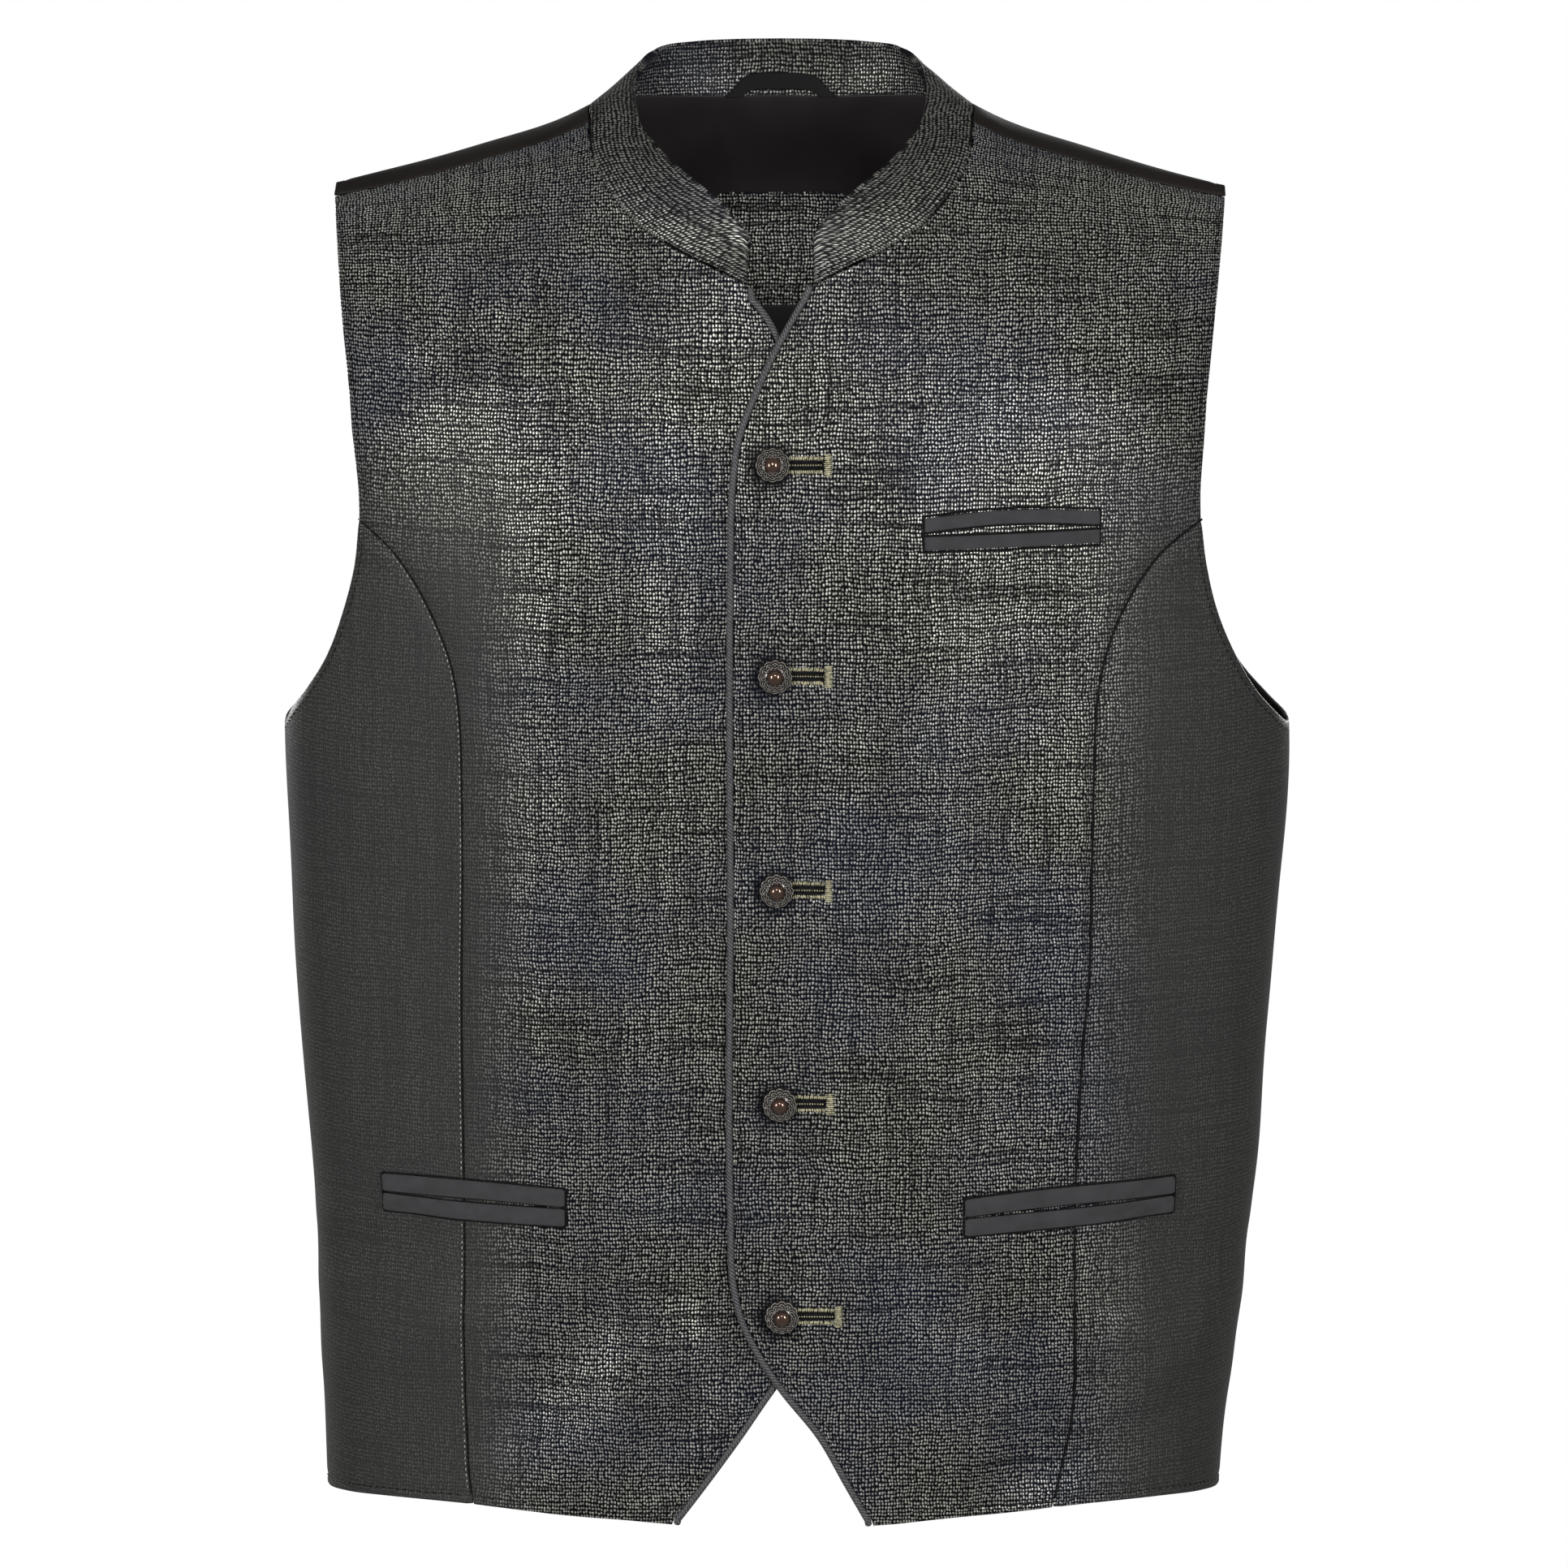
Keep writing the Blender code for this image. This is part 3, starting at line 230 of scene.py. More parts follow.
def read(columns, key, name, at):
    """Value of a table's column at places of its key column, on a smooth curve."""
    at = np.asarray(at, float)
    order = np.argsort(columns[key])
    return hermite(columns[key][order], columns[name][order], at.ravel()).reshape(at.shape)


def along(points, shares):
    """Points at shares of the length of a smooth curve through the given ones."""
    points = np.asarray(points, float)
    reach = np.concatenate(([0], np.cumsum(np.linalg.norm(np.diff(points, axis=0), axis=1))))
    return hermite(reach, points, np.asarray(shares) * reach[-1])


def joined(*curves):
    """Curves end to end, with the shared points kept once."""
    return np.concatenate([curves[0]] + [curve[1:] for curve in curves[1:]])


def drop_of(fall):
    """Height lost along a fall: a quarter turn over the shoulder, then straight down."""
    fall = np.abs(fall)
    quarter = SHOULDER_ROLL * math.pi / 2
    turned = SHOULDER_ROLL * (1 - np.cos(np.minimum(fall, quarter) / SHOULDER_ROLL))
    return turned + np.maximum(fall - quarter, 0)


def fall_of(drop):
    """Fall that loses a given height."""
    turned = SHOULDER_ROLL * np.arccos(1 - np.clip(drop, 0, SHOULDER_ROLL) / SHOULDER_ROLL)
    return turned + np.maximum(drop - SHOULDER_ROLL, 0)


def half_width(z, side):
    """Half width of the form at a height, on the side that the sign of side names."""
    return np.where(np.asarray(side) < 0, read(SECTION, "z", "right", z),
                    read(SECTION, "z", "left", z))


def shoulder_top(x):
    """Height of the shoulder line."""
    return read(SHOULDER, "x", "z", np.abs(x))


def chart(x, z):
    """Turn round the body and fall from the shoulder, of a place known by its x and z."""
    x = np.asarray(x, float)
    share = np.clip(np.abs(x) / half_width(z, x), 0, 1)
    turn = np.sign(x) * np.arcsin(share ** (SECTION_POWER / 2))
    return np.stack((turn, fall_of(shoulder_top(x) - z)), axis=-1)


def form(turn, fall, behind):
    """Point of the form: a superellipse section, carried from the shoulder line down."""
    share = np.sign(turn) * np.abs(np.sin(turn)) ** (2 / SECTION_POWER)
    hold = np.abs(np.cos(turn)) ** (2 / SECTION_POWER)
    lost = drop_of(fall)
    z = -lost
    for _ in range(8):
        x = share * half_width(z, share)
        z = shoulder_top(x) - lost
    lean = np.sin(np.minimum(np.abs(fall) / SHOULDER_ROLL, math.pi / 2))
    at_back = np.logical_and(behind, fall >= 0)
    y = np.where(at_back, read(SECTION, "z", "back", z), -read(SECTION, "z", "front", z))
    return np.stack((x, y * hold * lean, z), axis=-1)


def folds(columns, x, z):
    """Height of folds and creases: soft ridges or troughs that fade at their ends."""
    height = np.zeros_like(x)
    for row in zip(*(columns[name] for name in FOLD_NAMES)):
        middle_x, middle_z, lean, length, spread, rise = row
        slope = math.radians(lean)
        run = ((x - middle_x) * math.cos(slope) + (z - middle_z) * math.sin(slope)) / length * 2
        across = ((z - middle_z) * math.cos(slope) - (x - middle_x) * math.sin(slope)) / spread
        height += rise * np.exp(-across ** 2 - run ** 4)
    return height


def ripples(x, z):
    """Slight unevenness of hung cloth: a few long low waves that cross each other."""
    height = np.zeros_like(x)
    for wave_x, wave_z, phase, rise in RIPPLES:
        height += rise * np.sin(wave_x * x + wave_z * z + phase)
    return height


def outward(turn, fall, behind):
    """Unit vectors out of the form: the cross of its two directions."""
    step = 0.002
    reach = 0.25
    turn = np.clip(turn, -math.pi / 2 + step, math.pi / 2 - step)
    round_way = form(turn + step, fall, behind) - form(turn - step, fall, behind)
    down_way = form(turn, fall + reach, behind) - form(turn, fall - reach, behind)
    normal = np.cross(round_way, down_way) * (1 if behind else -1)
    return normal / np.linalg.norm(normal, axis=-1, keepdims=True)


def underlap(points):
    """How far the right front is sunk, because the left front lies on it."""
    edge = read(EDGE, "z", "left", points[..., 2])
    part = (points[..., 0] - edge + UNDERLAP_START) / (UNDERLAP_START - UNDERLAP_FULL)
    part = np.clip(part, 0, 1)
    return -UNDERLAP_SINK * part * part * (3 - 2 * part)


def cloth(places, side=0, behind=False, out=0.0, tables=None):
    """Points of the cloth: the form with its folds, creases and ripples, moved outwards."""
    turn = places[..., 0]
    fall = places[..., 1]
    points = form(turn, fall, behind)
    x = points[..., 0]
    z = points[..., 2]
    lift = ripples(x, z) + out
    for columns in tables or (FRONT_FOLDS, FRONT_CREASES):
        lift = lift + folds(columns, x, z)
    if side < 0 and not behind:
        lift = lift + underlap(points)
    return points + outward(turn, fall, behind) * lift[..., None]


def patch(first, last, foot, top, rows, columns):
    """Places of a four-sided piece: its four edges blended, less the blend of its corners."""
    rows = rows[:, None, None]
    columns = columns[None, :, None]
    across = (1 - columns) * first[:, None] + columns * last[:, None]
    upward = (1 - rows) * foot[None] + rows * top[None]
    corners = ((1 - rows) * ((1 - columns) * foot[0] + columns * foot[-1])
               + rows * ((1 - columns) * top[0] + columns * top[-1]))
    return across + upward - corners


def evened(places):
    """The places with their edges held and the others eased until no row or column turns back.

    Each place moves to the mean of its neighbours along its row and its column. The two count
    by how far apart the lines across them lie, less a share for the lean between the two.
    """
    flat = places * TURN_SCALE
    for _ in range(EVENING_ROUNDS):
        across = (flat[1:-1, 2:] - flat[1:-1, :-2]) / 2
        upward = (flat[2:, 1:-1] - flat[:-2, 1:-1]) / 2
        lean = (flat[2:, 2:] - flat[2:, :-2] - flat[:-2, 2:] + flat[:-2, :-2]) / 4
        row_share = np.sum(upward ** 2, axis=-1, keepdims=True)
        column_share = np.sum(across ** 2, axis=-1, keepdims=True)
        lean_share = 2 * np.sum(across * upward, axis=-1, keepdims=True)
        flat[1:-1, 1:-1] = (row_share * (flat[1:-1, 2:] + flat[1:-1, :-2])
                            + column_share * (flat[2:, 1:-1] + flat[:-2, 1:-1])
                            - lean_share * lean) / (2 * (row_share + column_share))
    return flat / TURN_SCALE


def graded(count, start=0.0, end=1.0, finer=0.0):
    """Shares between two values; finer makes the steps shorter at the start."""
    part = np.linspace(0, 1, count + 1)
    return start + (end - start) * ((1 - finer) * part + finer * part ** 2)


# Rows of every panel run from the hem: up the princess seam, up the armhole, then past the neck
ARMHOLE_SHARE = 25 / 43
NECK_SHARE = 35 / 43
SEAM_ROWS = graded(110, finer=0.62)
LOWER_ROWS = SEAM_ROWS * ARMHOLE_SHARE
ROWS = joined(LOWER_ROWS, graded(34, ARMHOLE_SHARE, NECK_SHARE), graded(28, NECK_SHARE, 1.0))
EDGE_ROWS = ROWS[ROWS <= NECK_SHARE + 1e-9] / NECK_SHARE
NECK_ROWS = (ROWS[ROWS >= NECK_SHARE - 1e-9] - NECK_SHARE) / (1 - NECK_SHARE)
ARMHOLE_ROWS = (ROWS[ROWS >= ARMHOLE_SHARE - 1e-9] - ARMHOLE_SHARE) / (1 - ARMHOLE_SHARE)
FRONT_COLUMNS = graded(88)
SIDE_COLUMNS = graded(44)


def curve_of(columns, name, side=1, key="z"):
    """A table's column as a curve in x and z."""
    return np.stack((side * columns[name], columns[key]), axis=1)


def charted(curve):
    """Places along a curve given in x and z."""
    return chart(curve[:, 0], curve[:, 1])


def hem_line(start, end, columns, behind=False):
    """Places of the hem between two turns."""
    turn = start + (end - start) * columns
    degrees = np.abs(np.degrees(turn))
    z = read(HEM, "turn", "z", 180 - degrees if behind else degrees)
    share = np.sign(turn) * np.abs(np.sin(turn)) ** (2 / SECTION_POWER)
    return np.stack((turn, fall_of(shoulder_top(share * half_width(z, share)) - z)), axis=-1)


def edge_curve(name, distance):
    """A front edge drawn back sideways from its finished line."""
    curve = along(curve_of(EDGE, name), graded(200))
    way = np.gradient(curve, axis=0)
    way /= np.linalg.norm(way, axis=1, keepdims=True)
    distance = distance if name == "left" else -distance
    return curve + distance * np.stack((way[:, 1], -way[:, 0]), axis=1)


def shoulder_places(side, shares):
    """Shoulder seam from the neck to the tip, a little before the top of the shoulder."""
    x = side * (NECK_POINT + (SHOULDER_TIP - NECK_POINT) * shares)
    share = np.abs(x) / half_width(shoulder_top(x) - drop_of(SEAM_FALL), x)
    turn = np.sign(x) * np.arcsin(share ** (SECTION_POWER / 2))
    return np.stack((turn, np.full(len(x), -SEAM_FALL)), axis=-1)


def princess_places(name, side):
    """Princess seam from the hem to the armhole."""
    return charted(along(curve_of(PRINCESS, name, side), SEAM_ROWS))


def neck_places(side):
    """Front neck seam from the collar's end to the shoulder seam."""
    neck = charted(along(curve_of(FRONT_NECK, "x", side), NECK_ROWS))
    neck[-1] = shoulder_places(side, np.zeros(1))[0]
    return neck


def front_places(name, side):
    """Places of a front: edge and neck, princess seam and armhole, hem, shoulder seam."""
    shoulder = shoulder_places(side, FRONT_COLUMNS)
    neck = neck_places(side)
    edge = charted(along(edge_curve(name, PIPING_WIDTH + LAY_GAP), EDGE_ROWS))
    edge[-1] = neck[0]
    princess = princess_places(name, side)
    armhole = charted(along(curve_of(FRONT_ARMHOLE, name, side), ARMHOLE_ROWS))
    armhole[-1] = shoulder[-1]
    hem = hem_line(edge[0][0], princess[0][0], FRONT_COLUMNS)
    edge[0] = hem[0]
    princess[0] = hem[-1]
    return patch(joined(edge, neck), joined(princess, armhole), hem, shoulder,
                 ROWS, FRONT_COLUMNS)


def underarm(side):
    """Place where the side seam ends under the arm."""
    z = ARMHOLE_FOOT["z"][-1]
    return np.array((side * math.pi / 2, fall_of(shoulder_top(half_width(z, side)) - z)))


def side_seam(side):
    """Side seam from the hem to the underarm."""
    hem = hem_line(side * math.pi / 2, side * math.pi / 2, np.zeros(1))[0]
    return hem + (underarm(side) - hem) * SEAM_ROWS[:, None]


def side_places(name, side):
    """Places of a side piece: princess seam, side seam, hem, and the foot of the armhole."""
    princess = princess_places(name, side)
    foot = charted(along(curve_of(ARMHOLE_FOOT, name, side), graded(80)))
    armhole = along(foot * TURN_SCALE, SIDE_COLUMNS) / TURN_SCALE
    armhole[-1] = underarm(side)
    hem = hem_line(princess[0][0], side * math.pi / 2, SIDE_COLUMNS)
    princess[0] = hem[0]
    princess[-1] = armhole[0]
    return patch(princess, side_seam(side), hem, armhole, SEAM_ROWS, SIDE_COLUMNS)


def weave_map(places, behind=False):
    """Where the threads run, in metres: u is the way round the body, v the way down it."""
    run = np.linspace(0, 1, 17)[:, None, None]
    path = form(places[..., 0] * run, places[..., 1] + 0 * run, behind)
    u = np.sum(np.linalg.norm(np.diff(path, axis=0), axis=-1), axis=0) * np.sign(places[..., 0])
    v = places[..., 1] - shoulder_top(path[-1, ..., 0])
    return np.stack((u, -v), axis=-1) * MM


def from_edge(points, edge):
    """Distance of each point from one edge of its piece: first or last column, foot or top row."""
    line = {"first": points[:, :1], "last": points[:, -1:], "foot": points[:1],
            "top": points[-1:]}[edge]
    return np.linalg.norm(points - line, axis=-1)


def drawn_in(points, distance):
    """A grid whose outer points are moved towards their inner neighbours."""
    points = points.copy()
    for _ in range(2):
        way = points[:, 1] - points[:, 0]
        points[:, 0] += way / np.linalg.norm(way, axis=-1, keepdims=True) * distance
        way = points[:, -2] - points[:, -1]
        points[:, -1] += way / np.linalg.norm(way, axis=-1, keepdims=True) * distance
        points = points.transpose(1, 0, 2)
    return points


def placed(name, mesh):
    """A mesh as an object of the scene."""
    made = bpy.data.objects.new(name, mesh)
    bpy.context.collection.objects.link(made)
    return made


def wall(name, outside, inside, uv=None, marks=None, rounded=EDGE_ROUND, gap=SEAM_GAP):
    """Closed piece of cloth between two grids, whose rim is a half round between them.

    The rim's rings stand out from the middle of the wall by the sine of their angle, and go
    from the outside to the inside by its cosine.
    """
    rows, columns = outside.shape[:2]
    outside = drawn_in(outside, gap / 2 + rounded)
    inside = drawn_in(inside, gap / 2 + rounded)
    number = np.arange(rows * columns).reshape(rows, columns)
    rim = np.concatenate((number[0], number[1:, -1], number[-1, -2::-1], number[-2:0:-1, 0]))
    inner = np.clip(np.indices((rows, columns)), 1, np.array((rows, columns))[:, None, None] - 2)
    inner = (inner[0] * columns + inner[1]).ravel()[rim]
    flat_out = outside.reshape(-1, 3)
    flat_in = inside.reshape(-1, 3)
    middle = (flat_out[rim] + flat_in[rim]) / 2
    half = (flat_out[rim] - flat_in[rim]) / 2
    outer_way = flat_out[rim] - flat_out[inner]
    unit = half / np.linalg.norm(half, axis=1, keepdims=True)
    outer_way -= unit * np.sum(outer_way * unit, axis=1, keepdims=True)
    outer_way /= np.linalg.norm(outer_way, axis=1, keepdims=True)
    rings = [middle + half * math.cos(angle) + outer_way * rounded * math.sin(angle)
             for angle in np.pi * np.arange(1, 4) / 4]
    points = np.concatenate([flat_out, flat_in] + rings) * MM
    far = rows * columns
    quads = np.stack((number[:-1, :-1], number[:-1, 1:], number[1:, 1:], number[1:, :-1]), -1)
    quads = quads.reshape(-1, 4)
    faces = [quads, quads[:, ::-1] + far]
    count = len(rim)
    loops = [rim] + [2 * far + count * index + np.arange(count) for index in range(3)]
    loops.append(rim + far)
    for before, after in zip(loops, loops[1:]):
        faces.append(np.stack((np.roll(before, -1), before, after, np.roll(after, -1)), -1))
    faces = np.concatenate(faces)
    mesh = bpy.data.meshes.new(name)
    mesh.vertices.add(len(points))
    mesh.vertices.foreach_set("co", points.ravel())
    mesh.loops.add(faces.size)
    mesh.loops.foreach_set("vertex_index", faces.ravel())
    mesh.polygons.add(len(faces))
    mesh.polygons.foreach_set("loop_start", np.arange(len(faces)) * 4)
    mesh.update(calc_edges=True)
    normal = np.zeros(3 * len(faces))
    mesh.polygons.foreach_get("normal", normal)
    towards = (flat_out - flat_in)[quads[:, 0]]
    if np.sum(normal.reshape(-1, 3)[:len(quads)] * towards) < 0:
        mesh.flip_normals()
    mesh.shade_smooth()
    around = np.concatenate([np.arange(far)] * 2 + [rim] * 3)
    if uv is not None:
        layer = mesh.uv_layers.new(name="cloth")
        corner = np.zeros(faces.size, int)
        mesh.loops.foreach_get("vertex_index", corner)
        layer.data.foreach_set("uv", uv.reshape(-1, 2)[around[corner]].ravel())
    for mark, values in (marks or {}).items():
        field = mesh.attributes.new(mark, "FLOAT", "POINT")
        field.data.foreach_set("value", values.ravel()[around])
    return placed(name, mesh)


def smooth_step(value, low, high):
    """0 below low, 1 above high, and a smooth ramp between."""
    part = np.clip((value - low) / (high - low), 0, 1)
    return part * part * (3 - 2 * part)


def shader_node(tree, kind, settings=None, **inputs):
    """A node with its settings; an input is a value, or a socket that is linked to it."""
    made = tree.nodes.new(kind)
    for name, value in (settings or {}).items():
        setattr(made, name, value)
    for name, value in inputs.items():
        key = int(name[1:]) if name[0] == "i" and name[1:].isdigit() else name.replace("_", " ")
        if isinstance(value, bpy.types.NodeSocket):
            tree.links.new(value, made.inputs[key])
        else:
            made.inputs[key].default_value = value
    return made


def new_material(name):
    """A material, its node tree and its main shader."""
    made = bpy.data.materials.new(name)
    made.use_nodes = True
    return made, made.node_tree, made.node_tree.nodes["Principled BSDF"]


def blended(tree, share, first, second):
    """Colour between two others by a share."""
    mixed = shader_node(tree, "ShaderNodeMix", {"data_type": "RGBA"}, i0=share, i6=first, i7=second)
    return mixed.outputs[2]


def figured(tree, operation, *values):
    """Result of one step of arithmetic."""
    inputs = {"i%d" % index: value for index, value in enumerate(values)}
    return shader_node(tree, "ShaderNodeMath", {"operation": operation}, **inputs).outputs[0]


def ramped(tree, value, low, high):
    """Smooth ramp of a value from 0 at low to 1 at high."""
    made = shader_node(tree, "ShaderNodeMapRange", {"interpolation_type": "SMOOTHSTEP"},
                       Value=value, From_Min=low, From_Max=high)
    return made.outputs[0]


def stretched_noise(tree, place, scale_u, scale_v, detail=1.0):
    """Noise whose grains have a different length along u and v."""
    scaled = shader_node(tree, "ShaderNodeMapping", {"vector_type": "POINT"}, Vector=place,
                         Scale=(scale_u, scale_v, 1.0))
    noise = shader_node(tree, "ShaderNodeTexNoise", {"noise_dimensions": "2D"},
                        Vector=scaled.outputs[0], Scale=1.0, Detail=detail)
    return noise


# Flecks and dark slubs of the suiting: grains along u and v, ramp and loss of each slub
FLECKS_ACROSS = 1 / (1.20 * MM)
FLECKS_DOWN = 1 / (1.50 * MM)
SLUBS = ((15.0, 620.0, 0.63, 0.68, 0.62), (600.0, 30.0, 0.62, 0.70, 0.45),
         (9.0, 780.0, 0.35, 0.65, 0.12), (780.0, 11.0, 0.38, 0.62, 0.42))
SUITING_GROUND = (0.0045, 0.0045, 0.005, 1.0)
SUITING_NAVY = (0.007, 0.0085, 0.018, 1.0)
SUITING_PALE = (0.88, 0.875, 0.78, 1.0)
SUITING_COOL = (0.50, 0.51, 0.56, 1.0)
# Painted shade: two plain darker greys that take the place of the flecks where the cloth turns away
# from the lamps.
SUITING_SHADED = ((0.038, 0.038, 0.037, 1.0), (0.072, 0.072, 0.069, 1.0))


def suiting_finish(name, shine, pale):
    """Slub suiting: pale upright flecks of thread in an uneven grid over near-black threads.

    Flecks are the middles of jittered cells, one for each crossing of threads. Long thin grains
    of noise are the dark slubs, and broad grains turn the ground navy. One mark is painted shade:
    it fades the flecks to a plain darker nap without their shine, where the cloth turns away from
    the lamps. The other mark is a painted shadow: it takes the flecks out under the rim of a
    button, a little to its lower left.
    """
    made, tree, shader = new_material(name)
    place = shader_node(tree, "ShaderNodeUVMap", {"uv_map": "cloth"}).outputs[0]
    wander = stretched_noise(tree, place, 40.0, 60.0, 2.0).outputs["Color"]
    shift = shader_node(tree, "ShaderNodeVectorMath", {"operation": "MULTIPLY_ADD"}, i0=wander,
                        i1=(0.003, 0.003, 0.0), i2=place).outputs[0]
    scaled = shader_node(tree, "ShaderNodeMapping", {"vector_type": "POINT"}, Vector=shift,
                         Scale=(FLECKS_ACROSS, FLECKS_DOWN, 1.0)).outputs[0]
    cells = shader_node(tree, "ShaderNodeTexVoronoi", {"voronoi_dimensions": "2D"},
                        Vector=scaled, Scale=1.0, Randomness=0.34)
    chance = shader_node(tree, "ShaderNodeSeparateColor", Color=cells.outputs["Color"])
    strength = figured(tree, "MULTIPLY_ADD", chance.outputs[0], 1.0, 0.55)
    strength = figured(tree, "MULTIPLY", strength, ramped(tree, cells.outputs["Distance"],
                                                          0.44, 0.10))
    for scale_u, scale_v, low, high, loss in SLUBS:
        grain = stretched_noise(tree, shift, scale_u, scale_v).outputs[0]
        kept = figured(tree, "MULTIPLY_ADD", ramped(tree, grain, low, high), -loss, 1.0)
        strength = figured(tree, "MULTIPLY", strength, kept)
    cloud = shader_node(tree, "ShaderNodeMapRange", Value=stretched_noise(
        tree, place, 30.0, 26.0, 3.0).outputs[0], From_Min=0.3, From_Max=0.7, To_Min=0.90,
        To_Max=1.10).outputs[0]
    strength = figured(tree, "MULTIPLY", strength, cloud)
    # Painted shadow: the flecks are taken out round each button, a little to its lower left.
    button_shadow = shader_node(tree, "ShaderNodeAttribute", {"attribute_name": "button_shadow"}).outputs["Fac"]
    strength = figured(tree, "MULTIPLY", strength, figured(tree, "MULTIPLY_ADD", button_shadow, -0.95, 1.0))
    navy = ramped(tree, stretched_noise(tree, place, 12.0, 16.0, 4.0).outputs[0], 0.36, 0.72)
    ground = blended(tree, navy, SUITING_GROUND, SUITING_NAVY)
    thread = blended(tree, figured(tree, "MULTIPLY", navy, 0.5), *(
        tuple(part * pale for part in shade[:3]) + (1.0,) for shade in (SUITING_PALE, SUITING_COOL)))
    colour = blended(tree, strength, ground, thread)
    # Painted shade: where the mark is set, the flecks give way to a plain darker grey and lose their
    # metal shine.
    painted_shade = shader_node(tree, "ShaderNodeAttribute", {"attribute_name": "painted_shade"}).outputs["Fac"]
    nap = stretched_noise(tree, place, 1500.0, 1700.0, 2.0).outputs[0]
    shaded_colour = blended(tree, ramped(tree, nap, 0.3, 0.7), *SUITING_SHADED)
    colour = blended(tree, painted_shade, colour, shaded_colour)
    tree.links.new(colour, shader.inputs["Base Color"])
    threads_shown = figured(tree, "MULTIPLY", strength, figured(tree, "SUBTRACT", 1.0, painted_shade))
    tree.links.new(figured(tree, "MULTIPLY", threads_shown, shine), shader.inputs["Metallic"])
    shader.inputs["Roughness"].default_value = 0.36
    raised = shader_node(tree, "ShaderNodeBump", Height=strength, Strength=0.3,
                         Distance=0.18 * MM).outputs[0]
    tree.links.new(raised, shader.inputs["Normal"])
    shader.inputs["Specular IOR Level"].default_value = 0.06
    return made


suiting = suiting_finish("suiting", 0.75, 1.0)
STITCH_INSET = 3.2
STITCH_PULL = 1.1
SEAM_PULL = 2.2
# Painted shade on the fronts: across which x and which depth below the top it sets in, and its
# greatest share.
SHADE_REACH = {-1: (86, 118), 1: (104, 144)}
SHADE_FALL = (100, 180)
SHADE_MOST = 0.90
# Painted shadow round each button: where it fades out, and how far it is moved to the lower left.
BUTTON_SHADOW_REACH = (6.6, 11.0)
BUTTON_SHADOW_OFFSET = (0.8, 0.7)
PANEL_NAMES = (("right", -1), ("left", 1))
BUTTON_TABLE = table(
    ("z", "x", "hole_end"),
    (-125.8, -3.0, 16.2), (-204.0, -2.1, 16.4), (-284.7, -1.5, 16.4), (-366.0, -0.4, 17.0),
    (-447.3, 0.4, 20.2))


def stitch_groove(grid, edge, depth):
    """Trough that a row of stitches pulls in beside an edge: a bell curve over the distance."""
    return -depth * np.exp(-((from_edge(grid, edge) - STITCH_INSET) / STITCH_PULL) ** 2)


panel_places = {}
panel_grids = {}
for name, side in PANEL_NAMES:
    for kind, places in (("_front", front_places(name, side)),
                         ("_side_front", side_places(name, side))):
        grid = cloth(places, side)
        seam = from_edge(grid, "last" if kind == "_front" else "first")
        groove = -0.5 * np.exp(-(seam / SEAM_PULL) ** 2) + stitch_groove(grid, "foot", 0.35)
        if kind == "_front":
            groove += stitch_groove(grid, "first", 0.30) + stitch_groove(grid, "last", 0.30)
        # Painted shade towards the sides and lower down, where the cloth turns away from the lamps.
        painted_shade = (smooth_step(np.abs(grid[..., 0]), *SHADE_REACH[side])
                * smooth_step(-grid[..., 2], *SHADE_FALL) * SHADE_MOST)
        # Painted shadow round each button of the left front.
        button_shadow = 0 * painted_shade
        if side > 0:
            for z, x in zip(BUTTON_TABLE["z"], BUTTON_TABLE["x"]):
                away = np.hypot(grid[..., 0] - x + BUTTON_SHADOW_OFFSET[0],
                                grid[..., 2] - z + BUTTON_SHADOW_OFFSET[1])
                button_shadow = np.maximum(button_shadow, 1 - smooth_step(away, *BUTTON_SHADOW_REACH))
        panel_places[name + kind] = places
        panel_grids[name + kind] = grid
        made = wall(name + kind + "_cloth", cloth(places, side, out=groove),
                    cloth(places, side, out=-CLOTH), weave_map(places),
                    {"painted_shade": painted_shade, "button_shadow": button_shadow})
        made.data.materials.append(suiting)
        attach(made, "root")
        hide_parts(name + kind)

# Buttonholes: five level slits cut through the left front, edged with pale buttonhole stitch and
# closed by a wider bar at the outer end. Black tubes along the lips fill the slit as its painted
# shade, and the button's shank hides the inner end.
HOLE_HEIGHT = 2.6
HOLE_START = 1.8
HOLE_DEPTH = 12.0
HOLE_PITCH = 0.76
STITCH_PALE = (0.80, 0.75, 0.50, 1.0)
# Black of the dark thread, also used for the tubes of painted shade in slits and seams.
THREAD_AND_SHADE_BLACK = (0.012, 0.012, 0.013, 1.0)
SLIT_SHADE_RISES = np.array((-1.35, -0.55, 0.55, 1.35))


